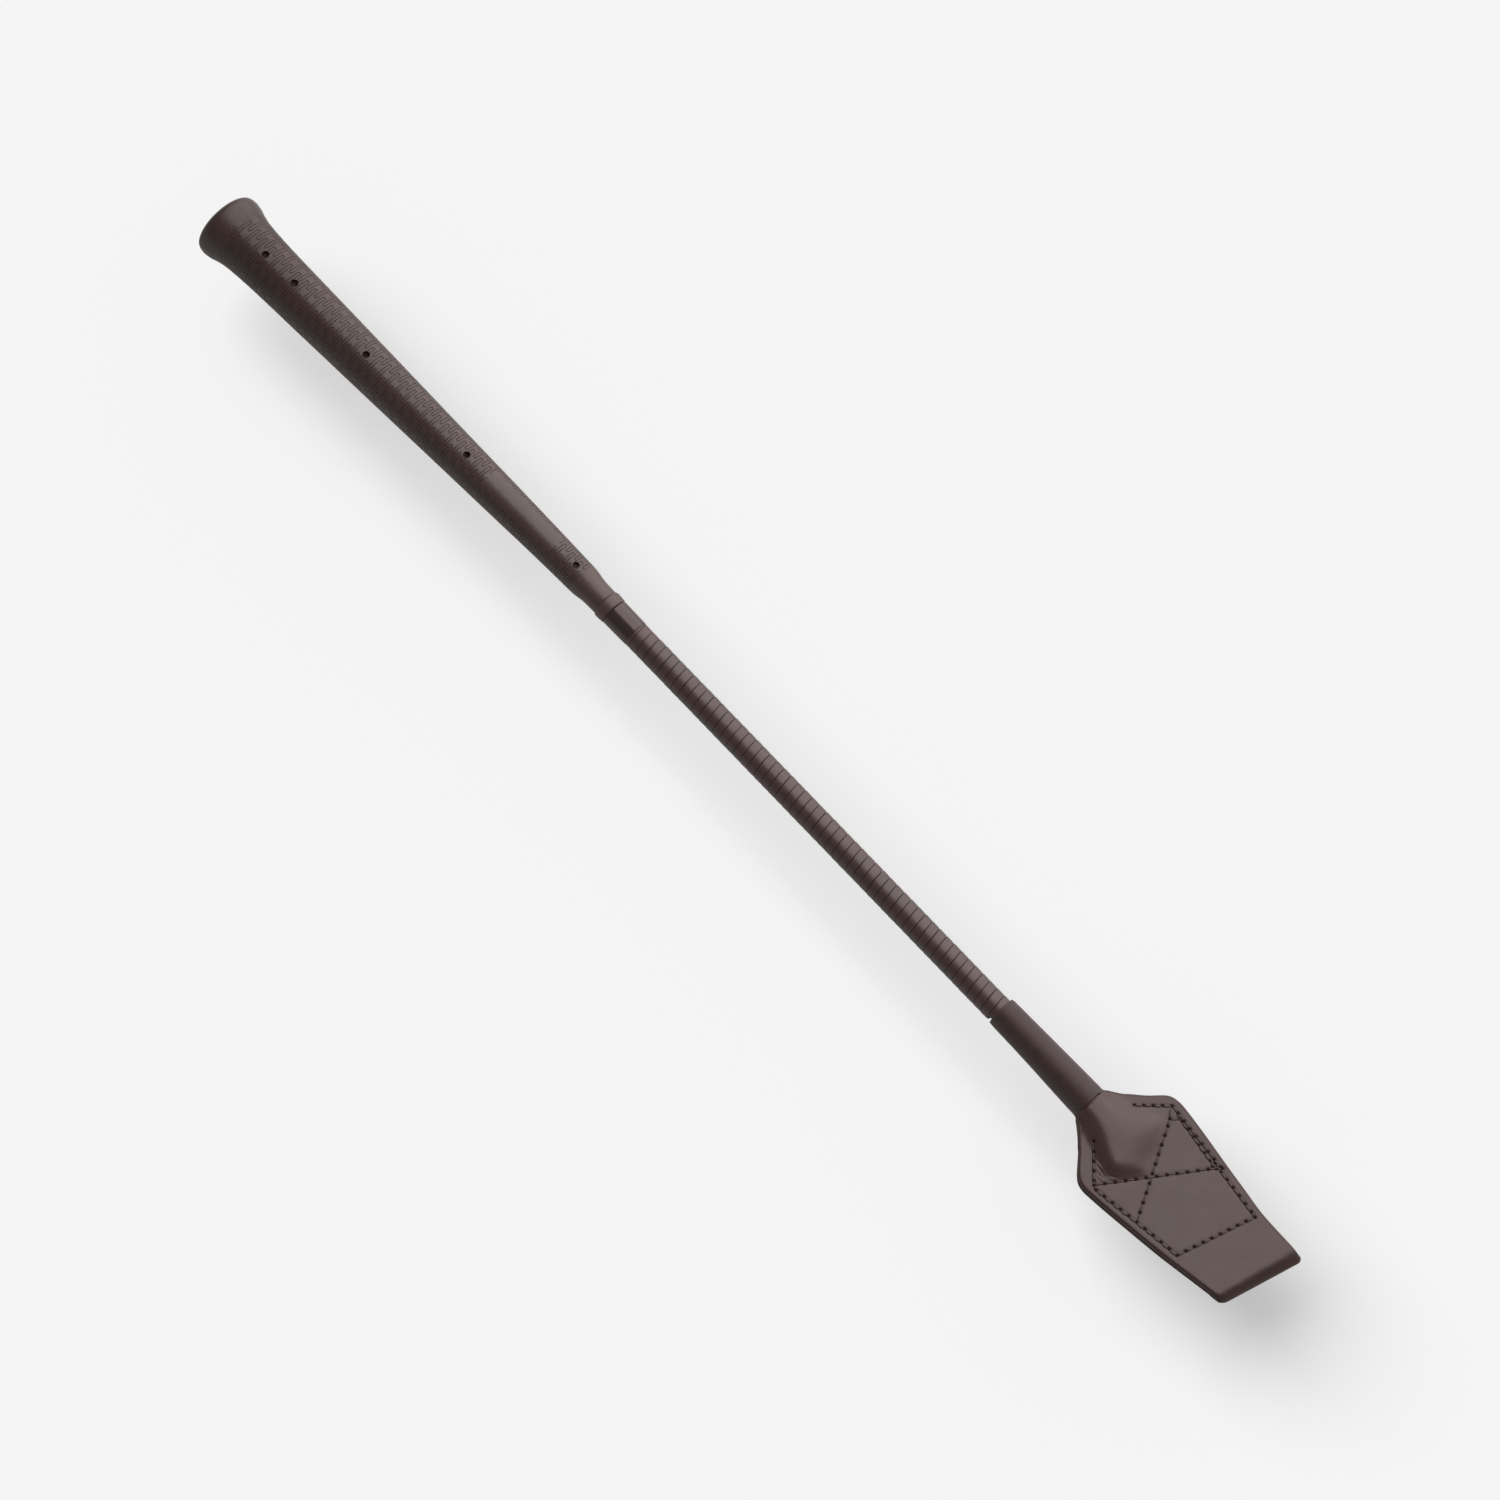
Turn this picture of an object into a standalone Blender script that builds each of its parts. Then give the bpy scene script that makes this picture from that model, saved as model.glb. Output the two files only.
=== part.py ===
"""A riding crop (short jumping bat): rubber grip, spiral-wrapped shaft and a stitched leather flap.

Metres, +Z up. X runs along the shaft's axis from the butt face (x = 0) to the flap's tip.
+Z is the outward normal of the flap's front face and Y runs across the flap.
The origin is where the shaft's axis meets the plane of the butt face.
Every length below is in millimetres; finished vertices are scaled by MM.
"""

import math

import bmesh
import bpy
from mathutils import Matrix, Vector

MM = 0.001
CLEAR = 0.3  # gap kept between neighbouring pieces
SMOOTH_ANGLE = 35.0  # degrees; steeper edges are shaded sharp

# name: (base colour, roughness)
MATERIALS = {
    "grip_rubber": ((0.075, 0.058, 0.055), 0.62),
    "end_ring_rubber": ((0.070, 0.054, 0.051), 0.5),
    "ferrule_lacquer": ((0.018, 0.015, 0.014), 0.12),
    "ribbon_leatherette": ((0.120, 0.095, 0.090), 0.42),
    "flap_leather": ((0.105, 0.080, 0.076), 0.45),
    "binding_cord": ((0.060, 0.048, 0.045), 0.6),
    "stitch_thread": ((0.012, 0.010, 0.009), 0.6),
    "rod_fibreglass": ((0.55, 0.55, 0.45), 0.35),
    "core_plastic": ((0.05, 0.05, 0.05), 0.5),
    "plug_plastic": ((0.07, 0.07, 0.075), 0.5),
    "padding_fabric": ((0.18, 0.16, 0.14), 0.9),
    "cap_rubber": ((0.03, 0.03, 0.03), 0.7),
}

# ---- centreline: the handle is set at a small angle to the shaft ----
HANDLE_SET = 4.4  # how far the butt's centre stands off the shaft's axis, along -Y
SET_START = 216.0  # where the handle's line meets the shaft's axis
SET_BLEND = 24.0  # the bend is rounded this far to each side
SET_STEPS = 6
SET_MARGIN = 0.5  # added profile points keep this far from existing ones

# ---- grip, plug and former ----
GRIP_END = 244.0
GRIP_STATIONS = (  # (distance from the butt face, outer diameter)
    (0.0, 27.0), (0.9, 30.2), (2.4, 31.8), (4.5, 32.0), (7.5, 30.8), (12.5, 28.3),
    (21.5, 26.4), (31.0, 25.2), (58.0, 23.9), (86.0, 22.3), (132.0, 19.7), (177.0, 17.5),
    (204.0, 16.0), (230.0, 14.7), (235.0, 13.3), (239.0, 12.75), (GRIP_END, 12.5),
)
GRIP_BUTT_WALL = 5.0
GRIP_WALL = 2.2
GRIP_MOUTH_WALL = 1.15
WALL_THIN_START, WALL_THIN_END = 200.0, 240.0  # the wall thins towards the mouth between these
GRIP_SEGMENTS = 30
CORE_SEGMENTS = 26
PLUG_END = 24.0
CORE_END = 230.0
# places along the grip's cavity where its radius is taken
BUTT_CAVITY = (7.5, 10.0, 12.5, 17.0, 21.5)
HANDLE_CAVITY = (31.0, 58.0, 86.0, 132.0, 177.0, 204.0, 218.0)
MOUTH_CAVITY = (235.0, 239.0)

VENT_HOLES = (  # (distance from the butt face, diameter)
    (29.1, 3.3), (47.4, 3.5), (92.9, 3.2), (156.1, 3.1), (224.6, 2.9),
)
HOLE_TWIST = 6.2  # degrees by which the row of holes has turned towards -Y at the first hole
HOLE_TWIST_PER_MM = 0.032
HOLE_SEGMENTS = 14
CUTTER_EXTRA = 4.0  # cutter length beyond the wall's thickness
CUTTER_INSIDE = 1.0  # the part of that extra length that lies inside the cavity

# ---- rod ----
ROD_START, ROD_END = 10.0, 566.0
ROD_R_HANDLE, ROD_R_TIP = 3.6, 2.3
ROD_TAPER_FROM = 263.0
ROD_BUTT_CHAMFER, ROD_TIP_CHAMFER = 0.4, 0.6
ROD_BORE_R = ROD_R_HANDLE + CLEAR
SLIM_SEGMENTS = 18  # rod, padding and cap

# ---- end ring and ferrule; edges are (distance in from the end, drop below full radius) ----
RING_START, RING_END, RING_D = GRIP_END + CLEAR, 249.6, 13.6
RING_EDGE = ((0.0, 0.6), (0.5, 0.1), (1.4, 0.0))
RING_SEGMENTS = 24
FERRULE_START, FERRULE_SHOULDER, FERRULE_END = 232.0, RING_END + CLEAR, 263.3
FERRULE_D, SPIGOT_R = 12.8, 4.7
FERRULE_EDGE = ((0.0, 0.2), (0.3, 0.0))
FERRULE_SEGMENTS = 26

# ---- padding and ribbon ----
PADDING_START, PADDING_END, PADDING_R = FERRULE_END + CLEAR, 543.5, 4.7
RIBBON_START, RIBBON_END, RIBBON_PITCH = 264.0, 488.8, 4.37
RIBBON_R_IN, RIBBON_R_LOW, RIBBON_R_HIGH = 5.2, 5.85, 6.1
RIBBON_STEPS_PER_TURN = 10

# ---- cap over the rod's end ----
CAP_START, CAP_END = PADDING_END + CLEAR, 572.6
NOSE_START = 552.0
NOSE_STATIONS = (557.0, 562.0, 566.0, 569.0, 571.0, 572.2)
NOSE_TIP_R = 0.6

# ---- leather tails and their binding ----
TAIL_START = 493.0
TAIL_R_START, TAIL_R_END = 6.2, 7.1
TAIL_EDGE_HEIGHT = 0.65  # height of a tail's outer face at its side edges
BINDING_START, BINDING_END = RIBBON_END + CLEAR, 543.1
BINDING_D_START, BINDING_D_END = 14.2, 16.3
# (length along X, drop in radius) of the bevel at each end
BINDING_BEVEL_START, BINDING_BEVEL_END = (1.2, 0.4), (0.6, 0.3)
BINDING_END_EXTRA = 0.08  # added to the bore's clearance at its wide end
BINDING_SEGMENTS = 26

# ---- leather flap ----
TOTAL_LENGTH = 650.7
LEATHER_HALF = 3.25  # half of the two leather layers' total thickness
LAYER_GAP_HALF = 0.15
LAYER_MIN = 0.5  # least thickness of a layer over the rod
HINGE_X = 586.0  # the flap bends about the line across it at this x
HINGE_GAP = 1.6  # gap in the leather to each side of that line
UPPER_EDGE = (  # (x, distance from the axis) of the +Y edge
    (543.0, 7.7), (546.2, 10.5), (549.5, 12.9), (552.8, 16.0), (557.9, 21.0), (562.8, 26.4),
    (566.1, 28.0), (569.4, 28.4), (572.8, 28.2), (597.7, 24.4), (626.5, 20.1), (650.0, 19.4),
)
LOWER_EDGE = (  # (x, distance from the axis) of the -Y edge
    (543.0, 7.7), (546.5, 10.7), (549.8, 13.4), (553.2, 16.6), (558.1, 21.9), (563.2, 27.0),
    (566.5, 28.2), (569.8, 28.2), (576.4, 27.6), (601.9, 24.7), (622.4, 21.6), (640.0, 18.6),
)
TIP_SLANT = 0.27  # the tip is cut at an angle: +Y side longer
TIP_HALF_WIDTH = 19.5
TIP_MIDDLE_X = TOTAL_LENGTH - TIP_SLANT * TIP_HALF_WIDTH

CROWN = 7.2  # height of the leather over the end of the rod
CROWN_FADE = (558.0, 580.0)  # the crown sinks to the flat flap between these
FLATTEN = (541.0, 556.0)  # the round tail turns into the flap between these
TENT_HALF_WIDTH = (  # (x, half width of the leather raised over the rod)
    (543.0, 8.0), (556.0, 13.0), (574.0, 9.0), (586.0, 5.0),
)
POCKET_EXTRA = 1.5  # the hollow for the cap's nose is set this far towards the tip
NECK_STATIONS = (  # x of each row of points
    TAIL_START, 505.0, 518.0, 530.0, 541.0, 543.0, 545.5, 548.0, 550.5, 553.0,
    555.2, 557.4, 559.4, 561.3, 562.8, 564.3, 566.0, 567.5, 569.5, 571.2,
    572.6, 574.2, 576.0, 578.5, 581.5, HINGE_X - HINGE_GAP,
)
NECK_ACROSS = 22
ROD_ZONE_HALF, ROD_ZONE_SHARE = 5.6, 0.6  # this share of each row's points lies over the rod
PANEL_ACROSS, PANEL_ALONG, FOLD_STEPS = 14, 8, 6

# ---- stitching: corners as (x, y), named by their side of the axis ----
NECK_PLUS, NECK_MINUS = (556.3, 13.1), (556.3, -12.6)
SHOULDER_PLUS, SHOULDER_MINUS = (567.6, 24.6), (569.8, -25.2)
CROSSING = (583.1, -4.3)  # where the diagonals meet
SIDE_PLUS, SIDE_MINUS = (599.2, 20.2), (592.8, -22.7)
TIP_PLUS, TIP_MINUS = (624.4, 16.9), (613.7, -19.9)
THREAD_R = 0.4
RUN_SCALE = 0.9  # radius of a side run against the main thread's
THREAD_SIDES = 6
THREAD_GAP = 2.1  # the threads stop this far from the line that the flap bends about
THREAD_STEP = 2.4  # least spacing of points on the neck
THREAD_REACH = 1.2  # leather this far around a point holds the thread up
MITRE_LIMIT = 0.4  # least cosine used when widening a corner


# ---- shared tools ----
def material(name, colour, roughness):
    mat = bpy.data.materials.new(name)
    mat.use_nodes = True
    shader = mat.node_tree.nodes["Principled BSDF"]
    shader.inputs["Base Color"].default_value = (*colour, 1.0)
    shader.inputs["Roughness"].default_value = roughness
    mat.diffuse_color = (*colour, 1.0)
    return mat


def between(table, x):
    """Straight-line reading of a table of (position, value), held level past its ends."""
    if x <= table[0][0]:
        return table[0][1]
    for (x0, v0), (x1, v1) in zip(table, table[1:]):
        if x <= x1:
            return v0 + (v1 - v0) * (x - x0) / (x1 - x0)
    return table[-1][1]


def smoothstep(start, end, x):
    share = min(1.0, max(0.0, (x - start) / (end - start)))
    return share * share * (3.0 - 2.0 * share)


def axis_y(x):
    """Y of the centreline: straight handle, rounded bend, straight shaft."""
    slope = HANDLE_SET / SET_START
    if x >= SET_START + SET_BLEND:
        return 0.0
    if x <= SET_START - SET_BLEND:
        return -slope * (SET_START - x)
    return -slope * (SET_START + SET_BLEND - x) ** 2 / (4.0 * SET_BLEND)


def finish(name, bm, mat):
    """Turns the bmesh into a shaded object in the scene."""
    bmesh.ops.recalc_face_normals(bm, faces=bm.faces[:])
    mesh = bpy.data.meshes.new(name)
    bm.to_mesh(mesh)
    bm.free()
    mesh.materials.append(mat)
    mesh.shade_smooth()
    mesh.set_sharp_from_angle(angle=math.radians(SMOOTH_ANGLE))
    obj = bpy.data.objects.new(name, mesh)
    bpy.context.scene.collection.objects.link(obj)
    return obj


def add_boolean(obj, name, operation, helper):
    """Joins or cuts with a helper object, which is kept out of renders."""
    helper.hide_render = True
    helper.display_type = "WIRE"
    modifier = obj.modifiers.new(name, "BOOLEAN")
    modifier.operation = operation
    modifier.solver = "EXACT"
    modifier.object = helper


def strip(bm, row, next_row):
    """Quads between two open rows of vertices."""
    for i in range(len(row) - 1):
        bm.faces.new((row[i], row[i + 1], next_row[i + 1], next_row[i]))


def band(bm, ring, next_ring):
    """Quads between two closed rings of vertices."""
    strip(bm, ring + ring[:1], next_ring + next_ring[:1])


def capped_bands(bm, rings):
    """A bar through the rings, with a flat face at each end."""
    for ring, next_ring in zip(rings, rings[1:]):
        band(bm, ring, next_ring)
    bm.faces.new(rings[0])
    bm.faces.new(rings[-1])


def follow_set(profile):
    """Adds points to a profile where the centreline curves, so that bores and sleeves curve alike."""
    half_steps = SET_STEPS / 2
    curve = [SET_START + SET_BLEND * (k / half_steps - 1.0) for k in range(SET_STEPS + 1)]
    closed = profile[0][1] > 0.0
    points = []
    for (x0, r0), (x1, r1) in zip(profile, profile[1:] + profile[:1] * closed):
        points.append((x0, r0))
        low, high = min(x0, x1) + SET_MARGIN, max(x0, x1) - SET_MARGIN
        added = [x for x in curve if low < x < high]
        for x in added if x1 > x0 else added[::-1]:
            points.append((x, r0 + (r1 - r0) * (x - x0) / (x1 - x0)))
    return points if closed else points + [profile[-1]]


def turned(name, profile, segments, mat):
    """A body of revolution about the centreline from (x, radius) points. A profile that starts and
    ends on the axis makes a solid of revolution, and any other one is closed into a ring."""
    bm = bmesh.new()
    rings = []
    for x, radius in follow_set(profile):
        centre_y = axis_y(x)
        if radius <= 0.0:
            rings.append([bm.verts.new((x * MM, centre_y * MM, 0.0))])
            continue
        ring = []
        for i in range(segments):
            angle = 2.0 * math.pi * (i + 0.5) / segments
            y = centre_y + radius * math.cos(angle)
            z = radius * math.sin(angle)
            ring.append(bm.verts.new((x * MM, y * MM, z * MM)))
        rings.append(ring)
    pairs = list(zip(rings, rings[1:]))
    if len(rings[0]) > 1:
        pairs.append((rings[-1], rings[0]))
    for lower, upper in pairs:
        if len(lower) > 1 and len(upper) > 1:
            band(bm, lower, upper)
            continue
        for i in range(segments):
            j = (i + 1) % segments
            if len(lower) == 1:
                bm.faces.new((lower[0], upper[i], upper[j]))
            else:
                bm.faces.new((lower[i], lower[j], upper[0]))
    return finish(name, bm, mat)


def eased_ends(start, end, radius, edge):
    """Profile points of a cylinder whose two ends are eased by the same edge table."""
    near = [(start + inset, radius - drop) for inset, drop in edge]
    far = [(end - inset, radius - drop) for inset, drop in reversed(edge)]
    return near + far


# ---- rod and handle ----
def rod_radius(x):
    """Radius of the rod where it tapers."""
    share = (x - ROD_TAPER_FROM) / (ROD_END - ROD_TAPER_FROM)
    return ROD_R_HANDLE + (ROD_R_TIP - ROD_R_HANDLE) * share


def core_rod(mat):
    """One tapered bar from inside the butt to inside the flap."""
    profile = [
        (ROD_START, 0.0),
        (ROD_START, ROD_R_HANDLE - ROD_BUTT_CHAMFER),
        (ROD_START + ROD_BUTT_CHAMFER, ROD_R_HANDLE),
        (ROD_TAPER_FROM, ROD_R_HANDLE),
        (ROD_END - ROD_TIP_CHAMFER, ROD_R_TIP),
        (ROD_END, ROD_R_TIP - ROD_TIP_CHAMFER),
        (ROD_END, 0.0),
    ]
    turned("core_rod", profile, SLIM_SEGMENTS, mat)


def grip_radius(x):
    return between(GRIP_STATIONS, x) / 2.0


def cavity_radius(x):
    thinning = smoothstep(WALL_THIN_START, WALL_THIN_END, x)
    wall = GRIP_WALL + (GRIP_MOUTH_WALL - GRIP_WALL) * thinning
    return grip_radius(x) - wall


def cavity_fill(stations):
    """Profile points that keep clear of the grip's cavity."""
    return [(x, cavity_radius(x) - CLEAR) for x in stations]


def butt_plug(mat):
    """Fills the flared butt and holds the rod's end in a blind hole."""
    start = GRIP_BUTT_WALL + CLEAR
    hole_bottom = ROD_START - CLEAR
    profile = [(start, 0.0)]
    profile += cavity_fill((start, *BUTT_CAVITY, PLUG_END))
    profile += [(PLUG_END, ROD_BORE_R), (hole_bottom, ROD_BORE_R), (hole_bottom, 0.0)]
    turned("butt_plug", profile, CORE_SEGMENTS, mat)


def handle_core(mat):
    """The former under the grip."""
    start = PLUG_END + CLEAR
    profile = [(start, ROD_BORE_R)]
    profile += cavity_fill((start, *HANDLE_CAVITY, CORE_END))
    profile.append((CORE_END, ROD_BORE_R))
    turned("handle_core", profile, CORE_SEGMENTS, mat)


def hole_cutter(number, x, diameter, mat):
    """A bar that crosses the grip's wall, turned from +Z towards -Y."""
    inner = cavity_radius(x)
    depth = (grip_radius(x) - inner) + CUTTER_EXTRA
    middle = inner - CUTTER_INSIDE + depth / 2.0
    twist = HOLE_TWIST - HOLE_TWIST_PER_MM * (x - VENT_HOLES[0][0])
    turn = Matrix.Rotation(math.radians(max(0.0, twist)), 3, "X")
    bm = bmesh.new()
    bmesh.ops.create_cone(
        bm,
        cap_ends=True,
        segments=HOLE_SEGMENTS,
        radius1=diameter / 2.0 * MM,
        radius2=diameter / 2.0 * MM,
        depth=depth * MM,
    )
    bmesh.ops.translate(bm, vec=(0.0, 0.0, middle * MM), verts=bm.verts)
    bmesh.ops.rotate(bm, cent=(0.0, 0.0, 0.0), matrix=turn, verts=bm.verts)
    bmesh.ops.translate(bm, vec=(x * MM, axis_y(x) * MM, 0.0), verts=bm.verts)
    return finish("hole_cutter_%d" % number, bm, mat)


def grip_sleeve(mat):
    """Rubber grip: closed at the butt, open at the mouth, with a row of holes in its front."""
    cavity = (GRIP_BUTT_WALL, *BUTT_CAVITY, *HANDLE_CAVITY, CORE_END, *MOUTH_CAVITY, GRIP_END)
    profile = [(0.0, 0.0)]
    profile += [(x, diameter / 2.0) for x, diameter in GRIP_STATIONS]
    profile += [(x, cavity_radius(x)) for x in reversed(cavity)]
    profile.append((GRIP_BUTT_WALL, 0.0))
    sleeve = turned("grip_sleeve", profile, GRIP_SEGMENTS, mat)
    for number, (x, diameter) in enumerate(VENT_HOLES, 1):
        cutter = hole_cutter(number, x, diameter, mat)
        add_boolean(sleeve, "hole_%d" % number, "DIFFERENCE", cutter)


def grip_end_ring(mat):
    """Ring round the ferrule's spigot at the grip's mouth."""
    bore = SPIGOT_R + CLEAR
    profile = [(RING_START, bore)]
    profile += eased_ends(RING_START, RING_END, RING_D / 2.0, RING_EDGE)
    profile.append((RING_END, bore))
    turned("grip_end_ring", profile, RING_SEGMENTS, mat)


def neck_ferrule(mat):
    """Collar next to the ring, with a narrower spigot that reaches back into the grip."""
    profile = [
        (FERRULE_START, ROD_BORE_R),
        (FERRULE_START, SPIGOT_R),
        (FERRULE_SHOULDER, SPIGOT_R),
    ]
    profile += eased_ends(FERRULE_SHOULDER, FERRULE_END, FERRULE_D / 2.0, FERRULE_EDGE)
    profile.append((FERRULE_END, ROD_BORE_R))
    turned("neck_ferrule", profile, FERRULE_SEGMENTS, mat)


# ---- shaft ----
def shaft_padding(mat):
    """Tube under the ribbon, bored to the rod's taper."""
    profile = [
        (PADDING_START, PADDING_R),
        (PADDING_END, PADDING_R),
        (PADDING_END, rod_radius(PADDING_END) + CLEAR),
        (PADDING_START, rod_radius(PADDING_START) + CLEAR),
    ]
    turned("shaft_padding", profile, SLIM_SEGMENTS, mat)


def spiral_ribbon(mat):
    """The ribbon, laid round the shaft with each turn's tipward edge a little proud."""
    half = (RIBBON_PITCH - CLEAR) / 2.0
    first, last = RIBBON_START + half, RIBBON_END - half
    steps = int(round((last - first) / RIBBON_PITCH * RIBBON_STEPS_PER_TURN))
    section = (  # (offset along X, radius)
        (-half, RIBBON_R_IN),
        (half, RIBBON_R_IN),
        (half, RIBBON_R_HIGH),
        (-half, RIBBON_R_LOW),
    )
    bm = bmesh.new()
    rings = []
    for i in range(steps + 1):
        angle = 2.0 * math.pi * i / RIBBON_STEPS_PER_TURN
        x = first + RIBBON_PITCH * i / RIBBON_STEPS_PER_TURN
        ring = []
        for offset, radius in section:
            y, z = radius * math.cos(angle), radius * math.sin(angle)
            ring.append(bm.verts.new(((x + offset) * MM, y * MM, z * MM)))
        rings.append(ring)
    capped_bands(bm, rings)
    finish("spiral_ribbon", bm, mat)


def cap_radius(x):
    """The cap over the rod's end narrows to a blunt nose."""
    if x <= NOSE_START:
        return PADDING_R
    if x >= CAP_END:
        return 0.0
    share = (x - NOSE_START) / (CAP_END - NOSE_START)
    return PADDING_R * math.sqrt(1.0 - share**3)


def rod_end_cap(mat):
    """Cap with a blind hole for the rod's end, from its nose round to the hole's bottom."""
    hole_bottom = ROD_END + CLEAR
    profile = [(CAP_END, 0.0), (CAP_END, NOSE_TIP_R)]
    profile += [(x, cap_radius(x)) for x in reversed(NOSE_STATIONS)]
    profile += [
        (NOSE_START, PADDING_R),
        (CAP_START, PADDING_R),
        (CAP_START, rod_radius(CAP_START) + CLEAR),
        (hole_bottom, rod_radius(ROD_END) + CLEAR),
        (hole_bottom, 0.0),
    ]
    turned("rod_end_cap", profile, SLIM_SEGMENTS, mat)


def binding_thread(mat):
    """Cord sleeve round the leather tails."""
    bevel_start, drop_start = BINDING_BEVEL_START
    bevel_end, drop_end = BINDING_BEVEL_END
    profile = [
        (BINDING_START, TAIL_R_START + CLEAR),
        (BINDING_START, BINDING_D_START / 2.0 - drop_start),
        (BINDING_START + bevel_start, BINDING_D_START / 2.0),
        (BINDING_END - bevel_end, BINDING_D_END / 2.0),
        (BINDING_END, BINDING_D_END / 2.0 - drop_end),
        (BINDING_END, TAIL_R_END + CLEAR + BINDING_END_EXTRA),
    ]
    turned("binding_thread", profile, BINDING_SEGMENTS, mat)


# ---- leather ----
def tail_radius(x):
    share = (x - TAIL_START) / (BINDING_END - TAIL_START)
    return TAIL_R_START + (TAIL_R_END - TAIL_R_START) * min(1.0, share)


def half_width(x, side):
    """Distance from the axis to the leather's edge, on the +Y side (side > 0) or the -Y side."""
    edge = UPPER_EDGE if side > 0.0 else LOWER_EDGE
    if x <= edge[0][0]:
        return tail_radius(x)
    return between(edge, x)


def layer_outer(x, y):
    """Height of the front leather's outer face above the flap's middle plane."""
    across = math.sqrt(max(0.0, 1.0 - (y / half_width(x, y)) ** 2))
    tail = TAIL_EDGE_HEIGHT + (tail_radius(x) - TAIL_EDGE_HEIGHT) * across
    tent_half = between(TENT_HALF_WIDTH, x)
    tent = 0.5 + 0.5 * math.cos(math.pi * min(1.0, abs(y) / tent_half))
    rise = (CROWN - LEATHER_HALF) * (1.0 - smoothstep(*CROWN_FADE, x))
    flap = LEATHER_HALF + rise * tent
    return tail + (flap - tail) * smoothstep(*FLATTEN, x)


def layer_inner(x, y):
    """Height of the front leather's inner face, which keeps clear of the padding and the cap."""
    core = PADDING_R if x < CAP_START else cap_radius(x - POCKET_EXTRA)
    if core <= 0.0:
        return LAYER_GAP_HALF
    reach = core + CLEAR
    return max(LAYER_GAP_HALF, math.sqrt(max(0.0, reach * reach - y * y)))


def spread(share, width):
    """Y of a point across the leather (share from -1 to 1), closest together towards the
    sides of the rod."""
    if abs(share) <= ROD_ZONE_SHARE:
        return ROD_ZONE_HALF * math.sin(math.pi / 2.0 * share / ROD_ZONE_SHARE)
    outward = (abs(share) - ROD_ZONE_SHARE) / (1.0 - ROD_ZONE_SHARE)
    return math.copysign(ROD_ZONE_HALF + (width - ROD_ZONE_HALF) * outward, share)


def neck_layer(name, side, mat):
    """One leather layer from its tail under the binding to the line where the flap bends."""
    bm = bmesh.new()
    outer, inner = [], []
    for x in NECK_STATIONS:
        outer_row, inner_row = [], []
        for i in range(NECK_ACROSS + 1):
            share = 2.0 * i / NECK_ACROSS - 1.0
            y = spread(share, half_width(x, share))
            low = layer_inner(x, y)
            high = max(layer_outer(x, y), low + LAYER_MIN)
            outer_row.append(bm.verts.new((x * MM, y * MM, side * high * MM)))
            inner_row.append(bm.verts.new((x * MM, y * MM, side * low * MM)))
        outer.append(outer_row)
        inner.append(inner_row)
    outer_columns, inner_columns = list(zip(*outer)), list(zip(*inner))
    for column, next_column in zip(outer_columns, outer_columns[1:]):
        strip(bm, column, next_column)
    for row, next_row in zip(inner, inner[1:]):
        strip(bm, row, next_row)
    for end in (0, -1):
        strip(bm, outer_columns[end], inner_columns[end])
        strip(bm, outer[end], inner[end])
    finish(name, bm, mat)


def flap_panel(mat):
    """The free part of the flap: one strip of leather folded back on itself at the tip."""
    start = HINGE_X + HINGE_GAP
    bm = bmesh.new()
    sections = []
    for i in range(PANEL_ACROSS + 1):
        share = -math.cos(math.pi * i / PANEL_ACROSS)
        tip_y = share * half_width(TIP_MIDDLE_X, share)
        fold_x = TIP_MIDDLE_X + TIP_SLANT * tip_y - LEATHER_HALF

        def vert(x, z):
            return bm.verts.new((x * MM, share * half_width(x, share) * MM, z * MM))

        xs = [start + (fold_x - start) * (k / PANEL_ALONG) for k in range(PANEL_ALONG + 1)]
        top, top_in, low, low_in = (
            [vert(x, z) for x in xs]
            for z in (LEATHER_HALF, LAYER_GAP_HALF, -LEATHER_HALF, -LAYER_GAP_HALF)
        )
        fold = []
        for k in range(1, FOLD_STEPS):
            angle = math.pi * (0.5 - k / FOLD_STEPS)
            x = fold_x + LEATHER_HALF * math.cos(angle)
            fold.append(vert(x, LEATHER_HALF * math.sin(angle)))
        sections.append((top, fold, low, low_in, top_in))
    rings = [
        top + fold + low[::-1] + low_in + top_in[::-1]
        for top, fold, low, low_in, top_in in sections
    ]
    for ring, next_ring in zip(rings, rings[1:]):
        band(bm, ring, next_ring)
    for top, fold, low, low_in, top_in in (sections[0], sections[-1]):
        strip(bm, top, top_in)
        strip(bm, low, low_in)
        bm.faces.new([top_in[-1], top[-1]] + fold + [low[-1], low_in[-1]])
    finish("flap_panel", bm, mat)


# ---- stitching ----
def tube(name, path, radius, mat):
    """A round thread along a path, with mitred corners and flat ends."""
    points = [Vector(point) for point in path]
    up = Vector((0.0, 0.0, 1.0))
    bm = bmesh.new()
    rings = []
    for k, point in enumerate(points):
        before = (point - points[k - 1]).normalized() if k else None
        after = (points[k + 1] - point).normalized() if k + 1 < len(points) else None
        along = (before or after) + (after or before)
        along.normalize()
        across = along.cross(up).normalized()
        lift = across.cross(along).normalized()
        stretch = 1.0 / max(MITRE_LIMIT, along.dot(before or after))
        ring = []
        for i in range(THREAD_SIDES):
            angle = 2.0 * math.pi * (i + 0.5) / THREAD_SIDES
            sideways = across * (radius * math.cos(angle) * stretch)
            offset = sideways + lift * (radius * math.sin(angle))
            ring.append(bm.verts.new((point + offset) * MM))
        rings.append(ring)
    capped_bands(bm, rings)
    return finish(name, bm, mat)


def leather_height(x, y):
    """The highest leather round a point, so that the thread lies on the face."""
    if x > HINGE_X:
        return LEATHER_HALF
    nearby = (-THREAD_REACH, 0.0, THREAD_REACH)
    return max(layer_outer(x + dx, y + dy) for dx in nearby for dy in nearby)


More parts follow.
